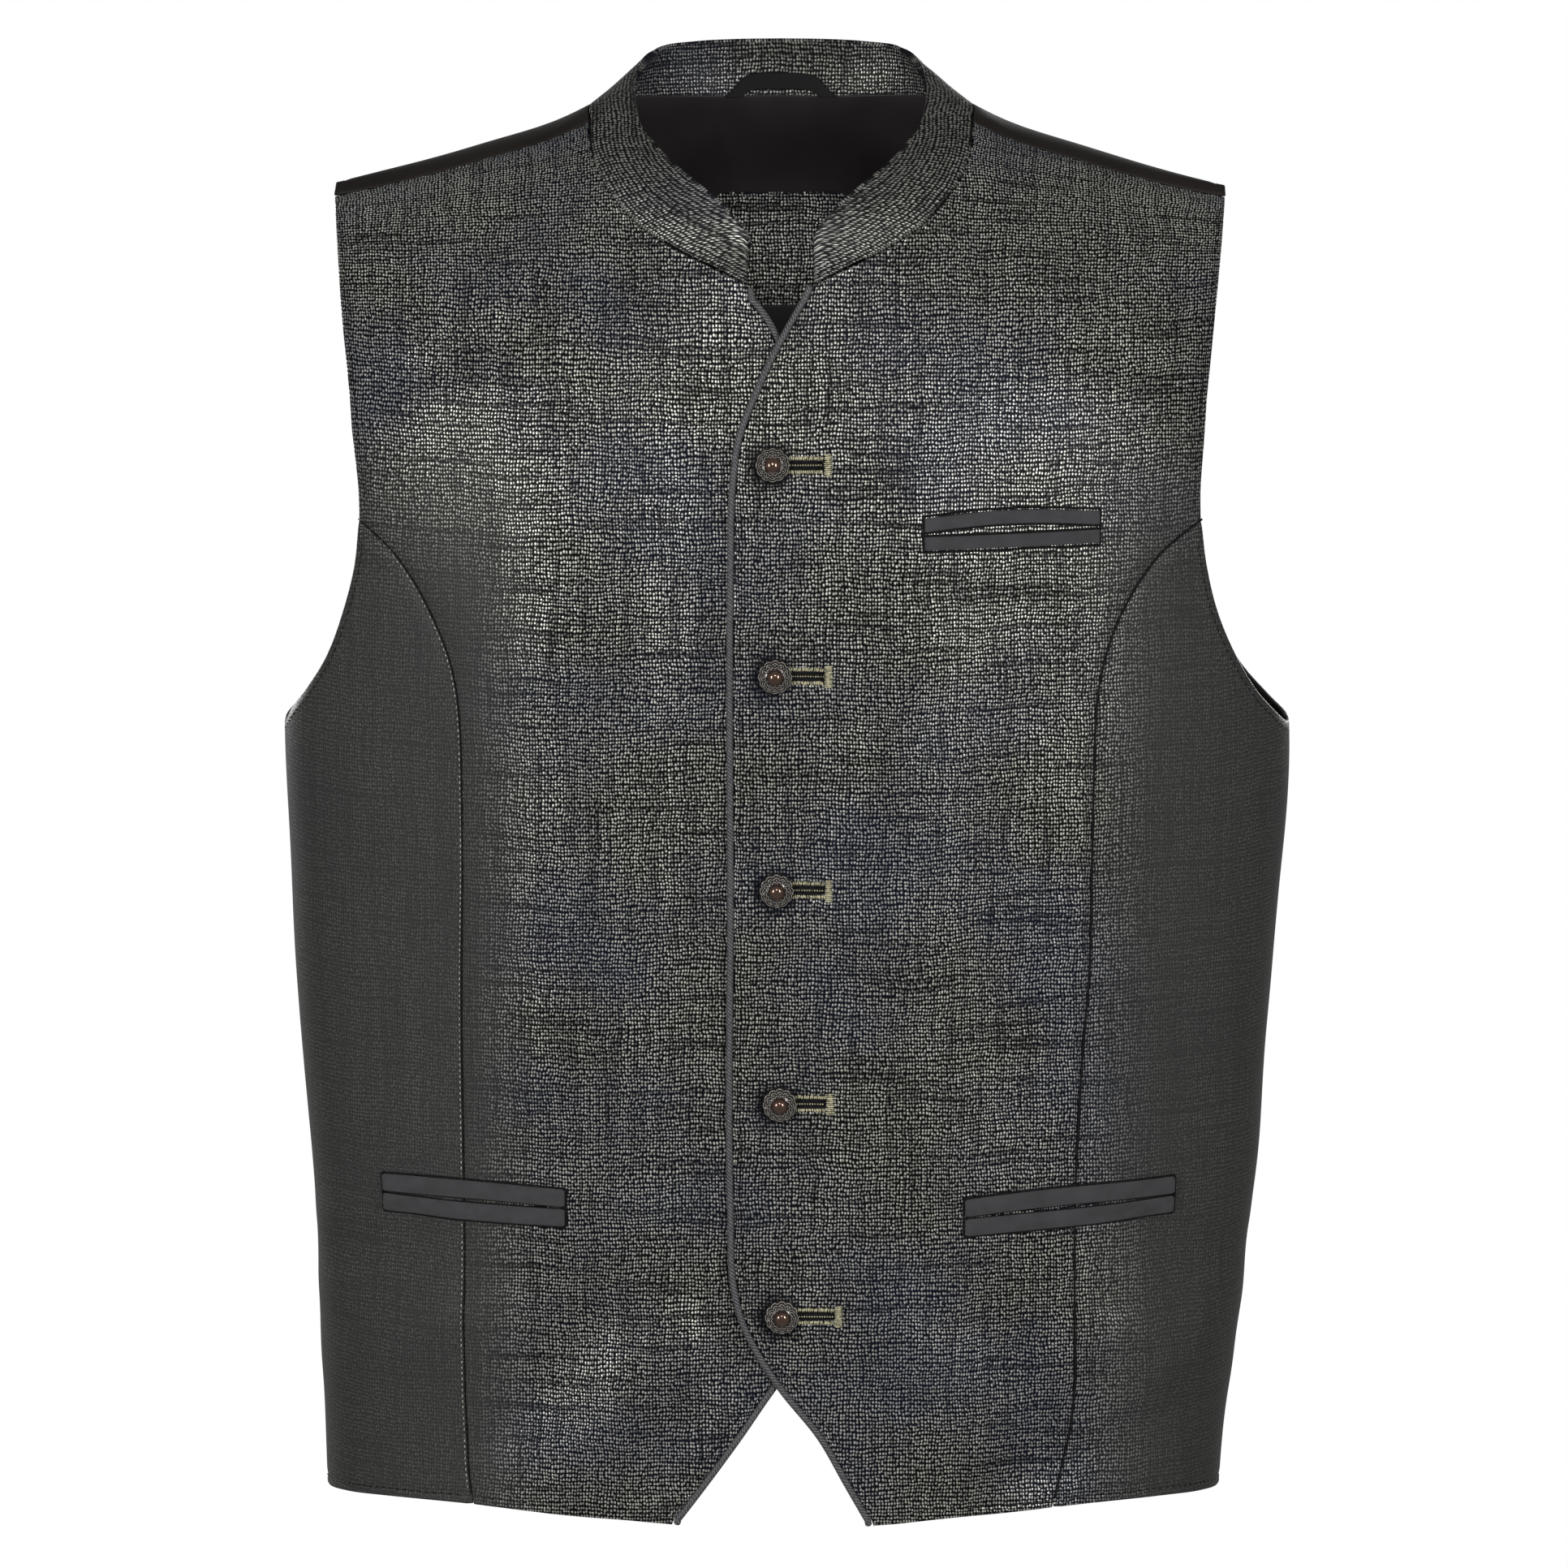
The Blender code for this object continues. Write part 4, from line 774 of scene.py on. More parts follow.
def threads(name, start, end, normal, radius, rise=0.6, rings=5, around=6):
    """Short threads from start to end: tubes that swell to their middle and arch off the cloth.

    Along a thread the radius is the square root of a half sine, and the middle line rises by
    the same half sine.
    """
    part = np.linspace(0.02, 0.98, rings)[None, :, None]
    angle = np.linspace(0, 2 * math.pi, around, endpoint=False)[None, None, :, None]
    way = end - start
    way /= np.linalg.norm(way, axis=1, keepdims=True)
    across = np.cross(way, normal)
    across /= np.linalg.norm(across, axis=1, keepdims=True)
    up = np.cross(across, way)
    radius = np.broadcast_to(np.asarray(radius, float), len(start))[:, None, None]
    swell = np.sin(math.pi * part)
    middle = start[:, None] + (end - start)[:, None] * part + up[:, None] * radius * rise * swell
    thick = (radius * np.sqrt(swell))[..., None]
    ring = (middle[:, :, None] + across[:, None, None] * np.cos(angle) * thick
            + up[:, None, None] * np.sin(angle) * thick)
    count = len(start)
    number = np.arange(count * rings * around).reshape(count, rings, around)
    turned = np.roll(number, -1, axis=2)
    sides = np.stack((number[:, :-1], number[:, 1:], turned[:, 1:], turned[:, :-1]), -1)
    caps = np.concatenate((number[:, 0, ::-1], number[:, -1]))
    mesh = bpy.data.meshes.new(name)
    mesh.from_pydata((ring.reshape(-1, 3) * MM).tolist(), [],
                     sides.reshape(-1, 4).tolist() + caps.tolist())
    mesh.shade_smooth()
    return placed(name, mesh)


def front_point(x, z, out=0.0, side=1):
    """Points on a front by x and z, and the way out of the cloth there."""
    places = chart(np.asarray(x, float), np.asarray(z, float))
    return (cloth(places, side, out=out), outward(places[..., 0], places[..., 1], False))


def thread_finish(name, colour, roughness=0.6):
    """Sewing thread: a plain dyed colour that varies a little from stitch to stitch."""
    made, tree, shader = new_material(name)
    place = shader_node(tree, "ShaderNodeTexCoord").outputs["Object"]
    noise = shader_node(tree, "ShaderNodeTexNoise", Vector=place, Scale=900.0, Detail=2.0)
    dark = tuple(part * 0.3 for part in colour[:3]) + (1.0,)
    mixed = blended(tree, ramped(tree, noise.outputs[0], 0.3, 0.65), dark, colour)
    tree.links.new(mixed, shader.inputs["Base Color"])
    shader.inputs["Roughness"].default_value = roughness
    shader.inputs["Specular IOR Level"].default_value = 0.15
    return made


left_cloth = bpy.data.objects["left_front_cloth"]
slits = []
for z, x, hole_end in zip(*BUTTON_TABLE.values()):
    middle, normal = front_point((x - HOLE_START + hole_end) / 2, z)
    z_axis = Vector(normal)
    x_axis = Vector((0, 0, 1)).cross(z_axis).normalized()
    bpy.ops.mesh.primitive_cube_add(size=1)
    slit = bpy.context.object
    size = Vector((hole_end - x + HOLE_START, HOLE_HEIGHT, HOLE_DEPTH)) * MM
    axes = np.array((x_axis, z_axis.cross(x_axis), z_axis)) * np.array(size)[:, None]
    corners = np.array([vertex.co for vertex in slit.data.vertices])
    slit.data.vertices.foreach_set("co", (corners @ axes + middle * MM).ravel())
    cut = left_cloth.modifiers.new("slit", "BOOLEAN")
    cut.operation = "DIFFERENCE"
    cut.object = slit
    slits.append(slit)
with bpy.context.temp_override(object=left_cloth, active_object=left_cloth):
    for cut in list(left_cloth.modifiers):
        bpy.ops.object.modifier_apply(modifier=cut.name)
for slit in slits:
    bpy.data.objects.remove(slit, do_unlink=True)

pale_thread = thread_finish("buttonhole_thread", STITCH_PALE)
stitch_rows = []
chance = np.random.default_rng(7)
for z, x, hole_end in zip(*BUTTON_TABLE.values()):
    reach = np.arange(x + 3.0, hole_end - 0.3, HOLE_PITCH)
    for upward in (-1, 1):
        jitter = chance.uniform(-0.16, 0.16, (2, len(reach)))
        near, normal = front_point(reach + jitter[0], z + upward * (1.75 + 0 * reach), 0.25)
        far_end = z + upward * (3.25 + jitter[1] * 1.6)
        far, _ = front_point(reach + jitter[0] + 0.3, far_end, 0.15)
        stitch_rows.append((near, far, normal))
    rise = np.arange(-4.0, 4.05, HOLE_PITCH)
    jitter = chance.uniform(-0.2, 0.2, (2, len(rise)))
    near, normal = front_point(hole_end - 0.2 + jitter[0], z + rise, 0.3)
    far, _ = front_point(hole_end + 3.0 + jitter[1], z + rise + 0.2, 0.2)
    stitch_rows.append((near, far, normal))
    reach = np.arange(x + 3.4, hole_end - 0.8, 0.95)
    near, normal = front_point(reach, z - 0.15 + 0 * reach, 0.5)
    far, _ = front_point(reach + 0.55, z + 0.15 + 0 * reach, 0.5)
    stitch_rows.append((near, far, normal))
buttonholes = threads("buttonhole_stitches",
                      *(np.concatenate(part) for part in zip(*stitch_rows)), 0.33, rise=1.0)
buttonholes.data.materials.append(pale_thread)
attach(buttonholes, "root")
# Black thread for the dark topstitching; the same black paints the shade in seams and slits.
black_thread_and_shade = thread_finish("black_thread_and_shade", THREAD_AND_SHADE_BLACK)
# Painted shade: black tubes along both lips of each slit stand for its dark inside.
heights = BUTTON_TABLE["z"][:, None] + SLIT_SHADE_RISES
start, normal = front_point(BUTTON_TABLE["x"][:, None] + 2.0 + 0 * SLIT_SHADE_RISES, heights, -0.25)
end, _ = front_point(BUTTON_TABLE["hole_end"][:, None] + 0.4 + 0 * SLIT_SHADE_RISES, heights, -0.25)
slit_shade = threads("buttonhole_slit_shade", start.reshape(-1, 3), end.reshape(-1, 3), normal.reshape(-1, 3),
               0.62, rise=0.0, rings=9)
slit_shade.data.materials.append(black_thread_and_shade)
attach(slit_shade, "root")

# Back: one piece of black satin from side seam to side seam and over the shoulders, where it
# meets the fronts a little before the top.
BACK_NECK = table(
    ("x", "fall"),
    (71.5, -27), (72, -10), (71.3, 6), (66, 25), (54, 43.5), (35, 58), (15, 65.5), (0, 67))
BACK_ARMHOLE = table(
    ("z", "share"),
    (-234.6, 1.0), (-229, 0.962), (-221, 0.920), (-210, 0.883), (-196, 0.853), (-180, 0.829),
    (-160, 0.822), (-135, 0.834), (-110, 0.858), (-85, 0.890), (-60, 0.930), (-45, 0.960))
BACK_FOLDS = table(
    FOLD_NAMES,
    (-70, -300, 84, 260, 24, 2.4), (74, -310, 97, 240, 26, 2.2), (0, -380, 90, 220, 26, -2.2),
    (-120, -230, 62, 120, 16, -1.8), (118, -236, -60, 130, 16, -2.0),
    (-44, -120, 28, 90, 14, -1.2), (50, -128, -24, 96, 14, -1.3), (-96, -440, 48, 100, 16, 1.8),
    (104, -450, -52, 90, 16, 1.6))
BACK_CREASES = table(
    FOLD_NAMES,
    (-136, -250, 40, 90, 7, 0.9), (-124, -280, 36, 100, 8, -0.9), (-110, -212, 52, 80, 8, 0.8),
    (138, -254, -38, 86, 7, 0.9), (126, -286, -34, 96, 8, -0.9), (112, -214, -50, 80, 8, 0.8),
    (-60, -92, 20, 90, 8, 0.7), (62, -98, -18, 84, 8, 0.7), (-30, -150, 8, 90, 9, -0.6),
    (34, -166, -10, 96, 9, 0.5), (-84, -380, 72, 120, 9, -0.8), (88, -372, -70, 110, 9, -0.8),
    (-30, -430, 64, 110, 9, 0.8), (36, -440, -66, 100, 9, 0.7), (-140, -470, 44, 70, 8, 0.8),
    (142, -466, -46, 74, 8, 0.8), (-10, -250, 84, 120, 10, 0.7), (-120, -330, 58, 90, 8, -0.6),
    (122, -338, -56, 90, 8, -0.6))
BACK_TABLES = (BACK_FOLDS, BACK_CREASES)
NECK_HALF = graded(44)
SHOULDER_HALF = graded(34)


def back_neck(side, shares):
    """Back neck seam from a shoulder seam to the middle of the back."""
    curve = along(np.stack((side * BACK_NECK["x"], BACK_NECK["fall"]), axis=1), shares)
    z = shoulder_top(curve[:, 0]) - drop_of(curve[:, 1])
    share = np.abs(curve[:, 0]) / half_width(z, curve[:, 0])
    turn = np.sign(curve[:, 0]) * np.arcsin(share ** (SECTION_POWER / 2))
    return np.stack((turn, curve[:, 1]), axis=-1)


def back_armhole(side):
    """Back armhole from the underarm, up the back and over the shoulder to its seam."""
    x = side * BACK_ARMHOLE["share"] * half_width(BACK_ARMHOLE["z"], side)
    rise = chart(x, BACK_ARMHOLE["z"])
    rise[0] = underarm(side)
    tip = shoulder_places(side, np.ones(1))[0]
    over = np.array(((tip[0], ARMHOLE_CREST), (tip[0], 0), (tip[0], SEAM_FALL)))
    return along(np.concatenate((rise, over)) * TURN_SCALE, ARMHOLE_ROWS) / TURN_SCALE


def back_places():
    """Places of the back, from the wearer's right side seam to the left one."""
    edges = {}
    shoulders = {}
    for side in (-1, 1):
        edges[side] = joined(side_seam(side), back_armhole(side))
        shoulders[side] = shoulder_places(side, SHOULDER_HALF) * (1, -1)
    neck = joined(back_neck(-1, NECK_HALF), back_neck(1, NECK_HALF)[::-1])
    neck[0] = shoulders[-1][0]
    neck[-1] = shoulders[1][0]
    top = joined(shoulders[-1][::-1], neck, shoulders[1])
    columns = graded(len(top) - 1)
    hem = hem_line(-math.pi / 2, math.pi / 2, columns, behind=True)
    for line, end in ((hem, 0), (top, -1)):
        line[0] = edges[-1][end]
        line[-1] = edges[1][end]
    return patch(edges[-1], edges[1], hem, top, ROWS, columns)


def satin_finish(name, colour, roughness, shine):
    """Smooth satin or lining: close fine threads with a soft shine, brushed along the fall."""
    made, tree, shader = new_material(name)
    place = shader_node(tree, "ShaderNodeUVMap", {"uv_map": "cloth"}).outputs[0]
    streak = stretched_noise(tree, place, 900.0, 60.0, 2.0).outputs[0]
    cloud = stretched_noise(tree, place, 22.0, 14.0, 3.0).outputs[0]
    light = tuple(part * 1.5 for part in colour[:3]) + (1.0,)
    mixed = blended(tree, ramped(tree, cloud, 0.3, 0.7), colour, light)
    tree.links.new(mixed, shader.inputs["Base Color"])
    rough = figured(tree, "MULTIPLY_ADD", streak, 0.16, roughness - 0.08)
    tree.links.new(rough, shader.inputs["Roughness"])
    raised = shader_node(tree, "ShaderNodeBump", Height=streak, Strength=0.18,
                         Distance=0.1 * MM).outputs[0]
    tree.links.new(raised, shader.inputs["Normal"])
    shader.inputs["Specular IOR Level"].default_value = shine
    return made


satin = satin_finish("back_satin", (0.015, 0.012, 0.0105, 1.0), 0.46, 0.2)
places = evened(back_places())
grid = cloth(places, 0, True, tables=BACK_TABLES)
groove = sum(stitch_groove(grid, edge, 0.35) for edge in ("foot", "first", "last"))
panel_places["back"] = places
panel_grids["back"] = grid
back = wall("back_cloth", cloth(places, 0, True, groove, BACK_TABLES),
            cloth(places, 0, True, -CLOTH, BACK_TABLES), weave_map(places, True))
back.data.materials.append(satin)
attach(back, "root")
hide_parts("back")

# Collar: a stiffened band of the suiting that stands on the neck seam, open at the front, with
# its top corners rounded. It leans in towards its top edge and bulges a little between.
COLLAR_CLOTH = 2.4
COLLAR_BULGE = 1.4
COLLAR_TURN_SHARE = 0.42
COLLAR_TOP = table(
    ("x", "y", "z"),
    (11.9, -52.3, -46.5), (12.7, -51.2, -40.8), (16.4, -50.3, -36.4), (27.5, -43.8, -27),
    (41.2, -33, -17), (49.6, -20, -8.8), (53.4, 0, 0.8), (53.2, 16, 6.2), (50.6, 29, 12),
    (45.5, 38, 14.6), (33, 44, 15.6), (16, 48, 16), (0, 49.3, 16))
COLLAR_ROWS = np.linspace(0, 1, 25)


def collar_lines():
    """Neck seam and top edge of the whole collar, from the right front end to the left one."""
    bases = {}
    for side in (-1, 1):
        front = cloth(neck_places(side), side)
        rear = cloth(back_neck(side, NECK_HALF), 0, True, tables=BACK_TABLES)
        middle = (front[-1] + rear[0]) / 2
        front[-1] = middle
        rear[0] = middle
        bases[side] = joined(front, rear)
    smooth = along(np.stack([COLLAR_TOP[axis] for axis in "xyz"], -1), joined(
        graded(len(NECK_ROWS) - 1, 0, COLLAR_TURN_SHARE),
        graded(len(NECK_HALF) - 1, COLLAR_TURN_SHARE, 1.0)))
    return (joined(bases[-1], bases[1][::-1]), joined(smooth * (-1, 1, 1), smooth[::-1]))


def collar_surface(out=0.0):
    """Outside of the collar: straight lines from base to top, bulged by a parabola."""
    base, top = collar_lines()
    rise = top - base
    heights = COLLAR_ROWS[:, None, None]
    band = base[None] + rise[None] * heights
    normal = np.cross(rise[None], np.gradient(band, axis=1))
    normal /= np.linalg.norm(normal, axis=-1, keepdims=True)
    return band + normal * (COLLAR_BULGE * 4 * heights * (1 - heights) + out)


def run_of(points, axis):
    """Length run along a grid up to each point."""
    steps = np.linalg.norm(np.diff(points, axis=axis), axis=-1)
    start = np.zeros_like(steps.take([0], axis=axis))
    return np.cumsum(np.concatenate((start, steps), axis=axis), axis=axis)


band = collar_surface()
length = run_of(band, 1)
middle = length.shape[1] // 2
length -= length[:, middle:middle + 1]
collar_map = np.stack((length, run_of(band, 0)), axis=-1) * MM + (0.0, 0.53)
creases = np.zeros_like(length)
for place, lean, rise in ((112.0, 0.5, -0.5), (118.0, 0.4, 0.35), (-104.0, -0.4, -0.35),
                          (-60.0, 0.2, 0.3), (66.0, -0.2, -0.3), (20.0, 0.1, 0.25)):
    creases += rise * np.exp(-((length - place - lean * run_of(band, 0)) / 3.0) ** 2)
# The collar is a shaded copy of the suiting: its threads are darker, and a little painted shade is
# set all over it.
collar = wall("collar_cloth", collar_surface(creases[..., None]), collar_surface(-COLLAR_CLOTH),
              collar_map, {"painted_shade": 0 * length + 0.12}, rounded=1.0)
collar.data.materials.append(suiting_finish("collar_suiting_shaded", 0.7, 0.70))
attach(collar, "root")
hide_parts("collar")

# Back lining: the black lining behind the neck, sewn under the collar, with a seam down its
# middle. It is the only stretch of lining that shows.
LINING_CLOTH = 1.0
LINING_LIFT = 1.0
LINING_TOP_FALL = 12.0
LINING_NECK_INSET = 1.0
LINING_COLUMNS = 43
LINING_TUCK = 34
LINING_ROWS_FROM = 33 / 43
lining = satin_finish("lining", (0.024, 0.0205, 0.0215, 1.0), 0.42, 0.3)
first_row = np.searchsorted(ROWS, LINING_ROWS_FROM)
places = evened(back_places()[first_row:, LINING_COLUMNS:-LINING_COLUMNS])
top = np.maximum(places[-1, :, 1] + LINING_NECK_INSET, LINING_TOP_FALL)
foot = places[0, :, 1]
share = (places[..., 1] - foot) / (places[-1, :, 1] - foot)
places = np.stack((places[..., 0], foot + (top - foot) * share), axis=-1)
depth = -CLOTH - LINING_LIFT
seam = -0.5 * np.exp(-(np.arange(places.shape[1]) - places.shape[1] // 2) ** 2 / 0.8)
facing = cloth(places, 0, True, depth - LINING_CLOTH - seam, BACK_TABLES)
line = collar_surface(-COLLAR_CLOTH - 0.25)[1, middle - LINING_TUCK:middle + LINING_TUCK + 1]
tucked = np.stack([np.interp(facing[-1, :, 0], line[:, 0], line[:, axis])
                   for axis in range(3)], -1)
below = np.linalg.norm(facing - facing[-1:], axis=-1, keepdims=True)
shift = (tucked - facing[-1]) * np.maximum(1 - below / 9.0, 0) ** 2
made = wall("back_lining_cloth", cloth(places, 0, True, depth, BACK_TABLES) + shift,
            facing + shift, weave_map(places, True), rounded=0.3)
made.data.materials.append(lining)
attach(made, "root")
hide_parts("back_lining")

# Neck patch: a piece of the suiting on the lining, with small round upper corners, and under it
# the end of a black tape label, left bare.
PATCH_HALF = 25.8
PATCH_TOP = -43.0
PATCH_FOOT = -88.5
PATCH_CORNER = 5.0
PATCH_CLOTH = 0.9
depth -= LINING_CLOTH + 0.5
x = PATCH_HALF * np.sin(np.linspace(-math.pi / 2, math.pi / 2, 61))
past = np.maximum(np.abs(x) - PATCH_HALF + PATCH_CORNER, 0)
top = PATCH_TOP - PATCH_CORNER + np.sqrt(PATCH_CORNER ** 2 - past ** 2)
rows = np.linspace(0, 1, 33)[:, None]
places = chart(x + 0 * rows, PATCH_FOOT + (top - PATCH_FOOT) * rows)
# The patch is a lit copy of the suiting: its flecks shine far less like metal, so they stay bright
# on a face that the lamps barely reach.
made = wall("neck_patch_cloth", cloth(places, 0, True, depth, BACK_TABLES),
            cloth(places, 0, True, depth - PATCH_CLOTH, BACK_TABLES),
            weave_map(places, True) + (0.31, 0.17), {"painted_shade": 0 * places[..., 0]}, rounded=0.3)
made.data.materials.append(suiting_finish("patch_suiting_lit", 0.2, 1.0))
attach(made, "root")
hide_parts("neck_patch")

LABEL_HALF = 7.3
LABEL_FOOT = -104.0
LABEL_CLOTH = 0.6
tape = satin_finish("tape", (0.012, 0.012, 0.0125, 1.0), 0.6, 0.1)
rows = np.linspace(LABEL_FOOT, PATCH_FOOT - 0.2, 17)[:, None]
x = np.linspace(-LABEL_HALF, LABEL_HALF, 13)
places = chart(x + 0 * rows, rows + 0 * x)
made = wall("size_label_tape", cloth(places, 0, True, depth, BACK_TABLES),
            cloth(places, 0, True, depth - LABEL_CLOTH, BACK_TABLES),
            weave_map(places, True), rounded=0.2)
made.data.materials.append(tape)
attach(made, "root")
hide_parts("size_label")

# Hanger loop: a flat black tape, its ends caught under the collar's lower edge, that stands up
# on the inside of the collar at the middle of the back.
LOOP_TAPE = 0.9
LOOP = table(
    ("outer_side", "outer_rise", "inner_side", "inner_rise"),
    (19.0, 0.6, 12.8, 0.6), (16.0, 4.6, 11.9, 2.0), (12.8, 8.6, 10.0, 3.1), (7.0, 9.7, 5.0, 3.5),
    (0.0, 9.8, 0.0, 3.5))


def loop_edge(edge):
    """One edge of the tape as distance from the middle and rise, from foot to foot."""
    half = along(np.stack((LOOP[edge + "_side"], LOOP[edge + "_rise"]), axis=1), graded(24))
    return joined(half * (-1, 1), half[::-1])


def on_collar(side, rise, depth):
    """Points inside the collar, read between its rows and columns near the middle."""
    band = collar_surface(-COLLAR_CLOTH - depth)
    centre = band[len(band) // 2, :, 0]
    heights = run_of(band, 0)[:, band.shape[1] // 2]
    across = np.interp(side, centre[middle - 30:middle + 31], np.arange(middle - 30, middle + 31))
    upward = np.interp(rise, heights, np.arange(len(band)))
    low_u = across.astype(int)
    low_v = upward.astype(int)
    part_u = (across - low_u)[..., None]
    part_v = (upward - low_v)[..., None]
    lower = band[low_v, low_u] * (1 - part_u) + band[low_v, low_u + 1] * part_u
    upper = band[low_v + 1, low_u] * (1 - part_u) + band[low_v + 1, low_u + 1] * part_u
    return lower * (1 - part_v) + upper * part_v


outer = loop_edge("outer")
inner = loop_edge("inner")
share = np.linspace(0, 1, 9)[:, None, None]
tape_grid = outer * (1 - share) + inner * share
tape_out = on_collar(tape_grid[..., 0], tape_grid[..., 1], 0.2)
tape_in = on_collar(tape_grid[..., 0], tape_grid[..., 1], 0.2 + LOOP_TAPE)
tape_map = np.stack((run_of(tape_out, 1), run_of(tape_out, 0)), axis=-1) * MM
made = wall("hanger_loop_tape", tape_out, tape_in, tape_map, rounded=0.25, gap=0.0)
made.data.materials.append(tape)
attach(made, "root")
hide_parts("hanger_loop")

# Edge piping: a plain grey bias strip folded round a thin cord and caught in the seam of both
# front edges, from the hem point to the collar. Its fine ribs are the bias-cut threads.
PIPING_SUNK = 0.3
PIPING_AROUND = 20


def tube(name, path, radius, around):
    """A tube along a path: rings square to the path, the ends drawn in to small caps.

    The map runs along the tube in u and round it in v, both in metres.
    """
    way = np.gradient(path, axis=0)
    way /= np.linalg.norm(way, axis=1, keepdims=True)
    side = np.cross(way, (0.0, 0.0, 1.0)) + np.cross(way, (0.0, 1.0, 0.0)) * 0.2
    side /= np.linalg.norm(side, axis=1, keepdims=True)
    up = np.cross(side, way)
    ends = np.array((0, 0, 0, len(path) - 1, len(path) - 1, len(path) - 1))
    shrink = np.array((0.02, 0.6, 0.9, 0.9, 0.6, 0.02))
    pushed = np.array((-1.0, -0.8, -0.4, 0.4, 0.8, 1.0)) * radius * 0.7
    order = np.concatenate((ends[:3], np.arange(len(path)), ends[3:]))
    size = np.concatenate((shrink[:3], np.ones(len(path)), shrink[3:])) * radius
    push = np.concatenate((pushed[:3], np.zeros(len(path)), pushed[3:]))
    angle = np.linspace(0, 2 * math.pi, around + 1)[None, :, None]
    centre = (path[order] + way[order] * push[:, None])[:, None]
    size = size[:, None, None]
    ring = centre + (side[order][:, None] * np.cos(angle)
                     + up[order][:, None] * np.sin(angle)) * size
    run = run_of(path[order][:, None], 0) + push[:, None]
    uv = np.stack((run + 0 * angle[..., 0], radius * angle[..., 0] + 0 * run), axis=-1) * MM
    rings = len(order)
    number = np.arange(rings * around).reshape(rings, around)
    turned = np.roll(number, -1, axis=1)
    sides = np.stack((number[:-1], number[1:], turned[1:], turned[:-1]), -1).reshape(-1, 4)
    mesh = bpy.data.meshes.new(name)
    mesh.from_pydata((ring[:, :-1].reshape(-1, 3) * MM).tolist(), [],
                     sides.tolist() + [number[0, ::-1].tolist(), number[-1].tolist()])
    corner_u = np.stack((uv[:-1, :-1], uv[1:, :-1], uv[1:, 1:], uv[:-1, 1:]), axis=2)
    layer = mesh.uv_layers.new(name="cloth")
    corners = np.concatenate((corner_u.reshape(-1, 2), uv[0, -2::-1], uv[-1, :-1]))
    layer.data.foreach_set("uv", corners.ravel())
    mesh.shade_smooth()
    normal = np.zeros(3 * len(mesh.polygons))
    mesh.polygons.foreach_get("normal", normal)
    outer_way = (ring[:, :-1] - centre)[:-1].reshape(-1, 3)
    if np.sum(normal.reshape(-1, 3)[:len(outer_way)] * outer_way) < 0:
        mesh.flip_normals()
    return placed(name, mesh)


def piping_finish():
    """Grey twill on the bias: slanting ribs about half a millimetre apart over plain grey."""
    made, tree, shader = new_material("piping")
    place = shader_node(tree, "ShaderNodeUVMap", {"uv_map": "cloth"}).outputs[0]
    turned = shader_node(tree, "ShaderNodeMapping", {"vector_type": "POINT"}, Vector=place,
                         Rotation=(0.0, 0.0, math.radians(38)), Scale=(1.0, 1.0, 1.0)).outputs[0]
    rib = shader_node(tree, "ShaderNodeTexWave", {"wave_type": "BANDS", "bands_direction": "X"},
                      Vector=turned, Scale=290.0, Distortion=0.5, Detail=1.0).outputs["Fac"]
    noise = stretched_noise(tree, place, 700.0, 900.0, 2.0).outputs[0]
    share = figured(tree, "MULTIPLY", rib, noise)
    colour = blended(tree, ramped(tree, share, 0.05, 0.6), (0.045, 0.045, 0.048, 1),
                     (0.20, 0.20, 0.208, 1))
    tree.links.new(colour, shader.inputs["Base Color"])
    raised = shader_node(tree, "ShaderNodeBump", Height=rib, Strength=0.5,
                         Distance=0.15 * MM).outputs[0]
    tree.links.new(raised, shader.inputs["Normal"])
    shader.inputs["Roughness"].default_value = 0.62
    return made


piping = piping_finish()
trims = {-1: [], 1: []}
for name, side in PANEL_NAMES:
    places = panel_places[name + "_front"][:len(EDGE_ROWS)]
    skin = cloth(places[:, :4], side, out=-CLOTH / 2)
    edge = skin[:, 0]
    way = np.gradient(edge, axis=0)
    way /= np.linalg.norm(way, axis=1, keepdims=True)
    out_way = edge - skin[:, 3]
    out_way -= way * np.sum(out_way * way, axis=1, keepdims=True)
    out_way /= np.linalg.norm(out_way, axis=1, keepdims=True)
    route = edge + out_way * (LAY_GAP + PIPING_WIDTH / 2 - PIPING_SUNK)
    route = along(route, graded(300, 0.002, 0.997))
    made = tube(name + "_edge_piping_cord", route, PIPING_WIDTH / 2, PIPING_AROUND)
    made.data.materials.append(piping)
    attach(made, "root")
    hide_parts(name + "_edge_piping")
    trims[side].append(made)

# Pocket welts: two flat strips of plain dark cloth for each pocket, sewn along their outer edges
# so that a slit stays between them. A black tube runs round each pair as painted shade of its
# seam, and a black tube along each lip of the slit is its painted shade.
WELT_CLOTH = 1.1
WELT_LIFT = 0.35
POCKET_NAMES = ("chest_pocket", "left_pocket", "right_pocket")
POCKET = table(
    ("x_inner", "z_inner", "x_outer", "z_outer", "welt", "gap", "bow"),
    (52.9, -151.3, 118, -150.6, 5.9, 0.35, 2.1), (68.6, -410.2, 147, -406.4, 6.7, 0.35, 0.9),
    (-80, -406.3, -149.2, -406.2, 6.8, 0.35, 0.8))


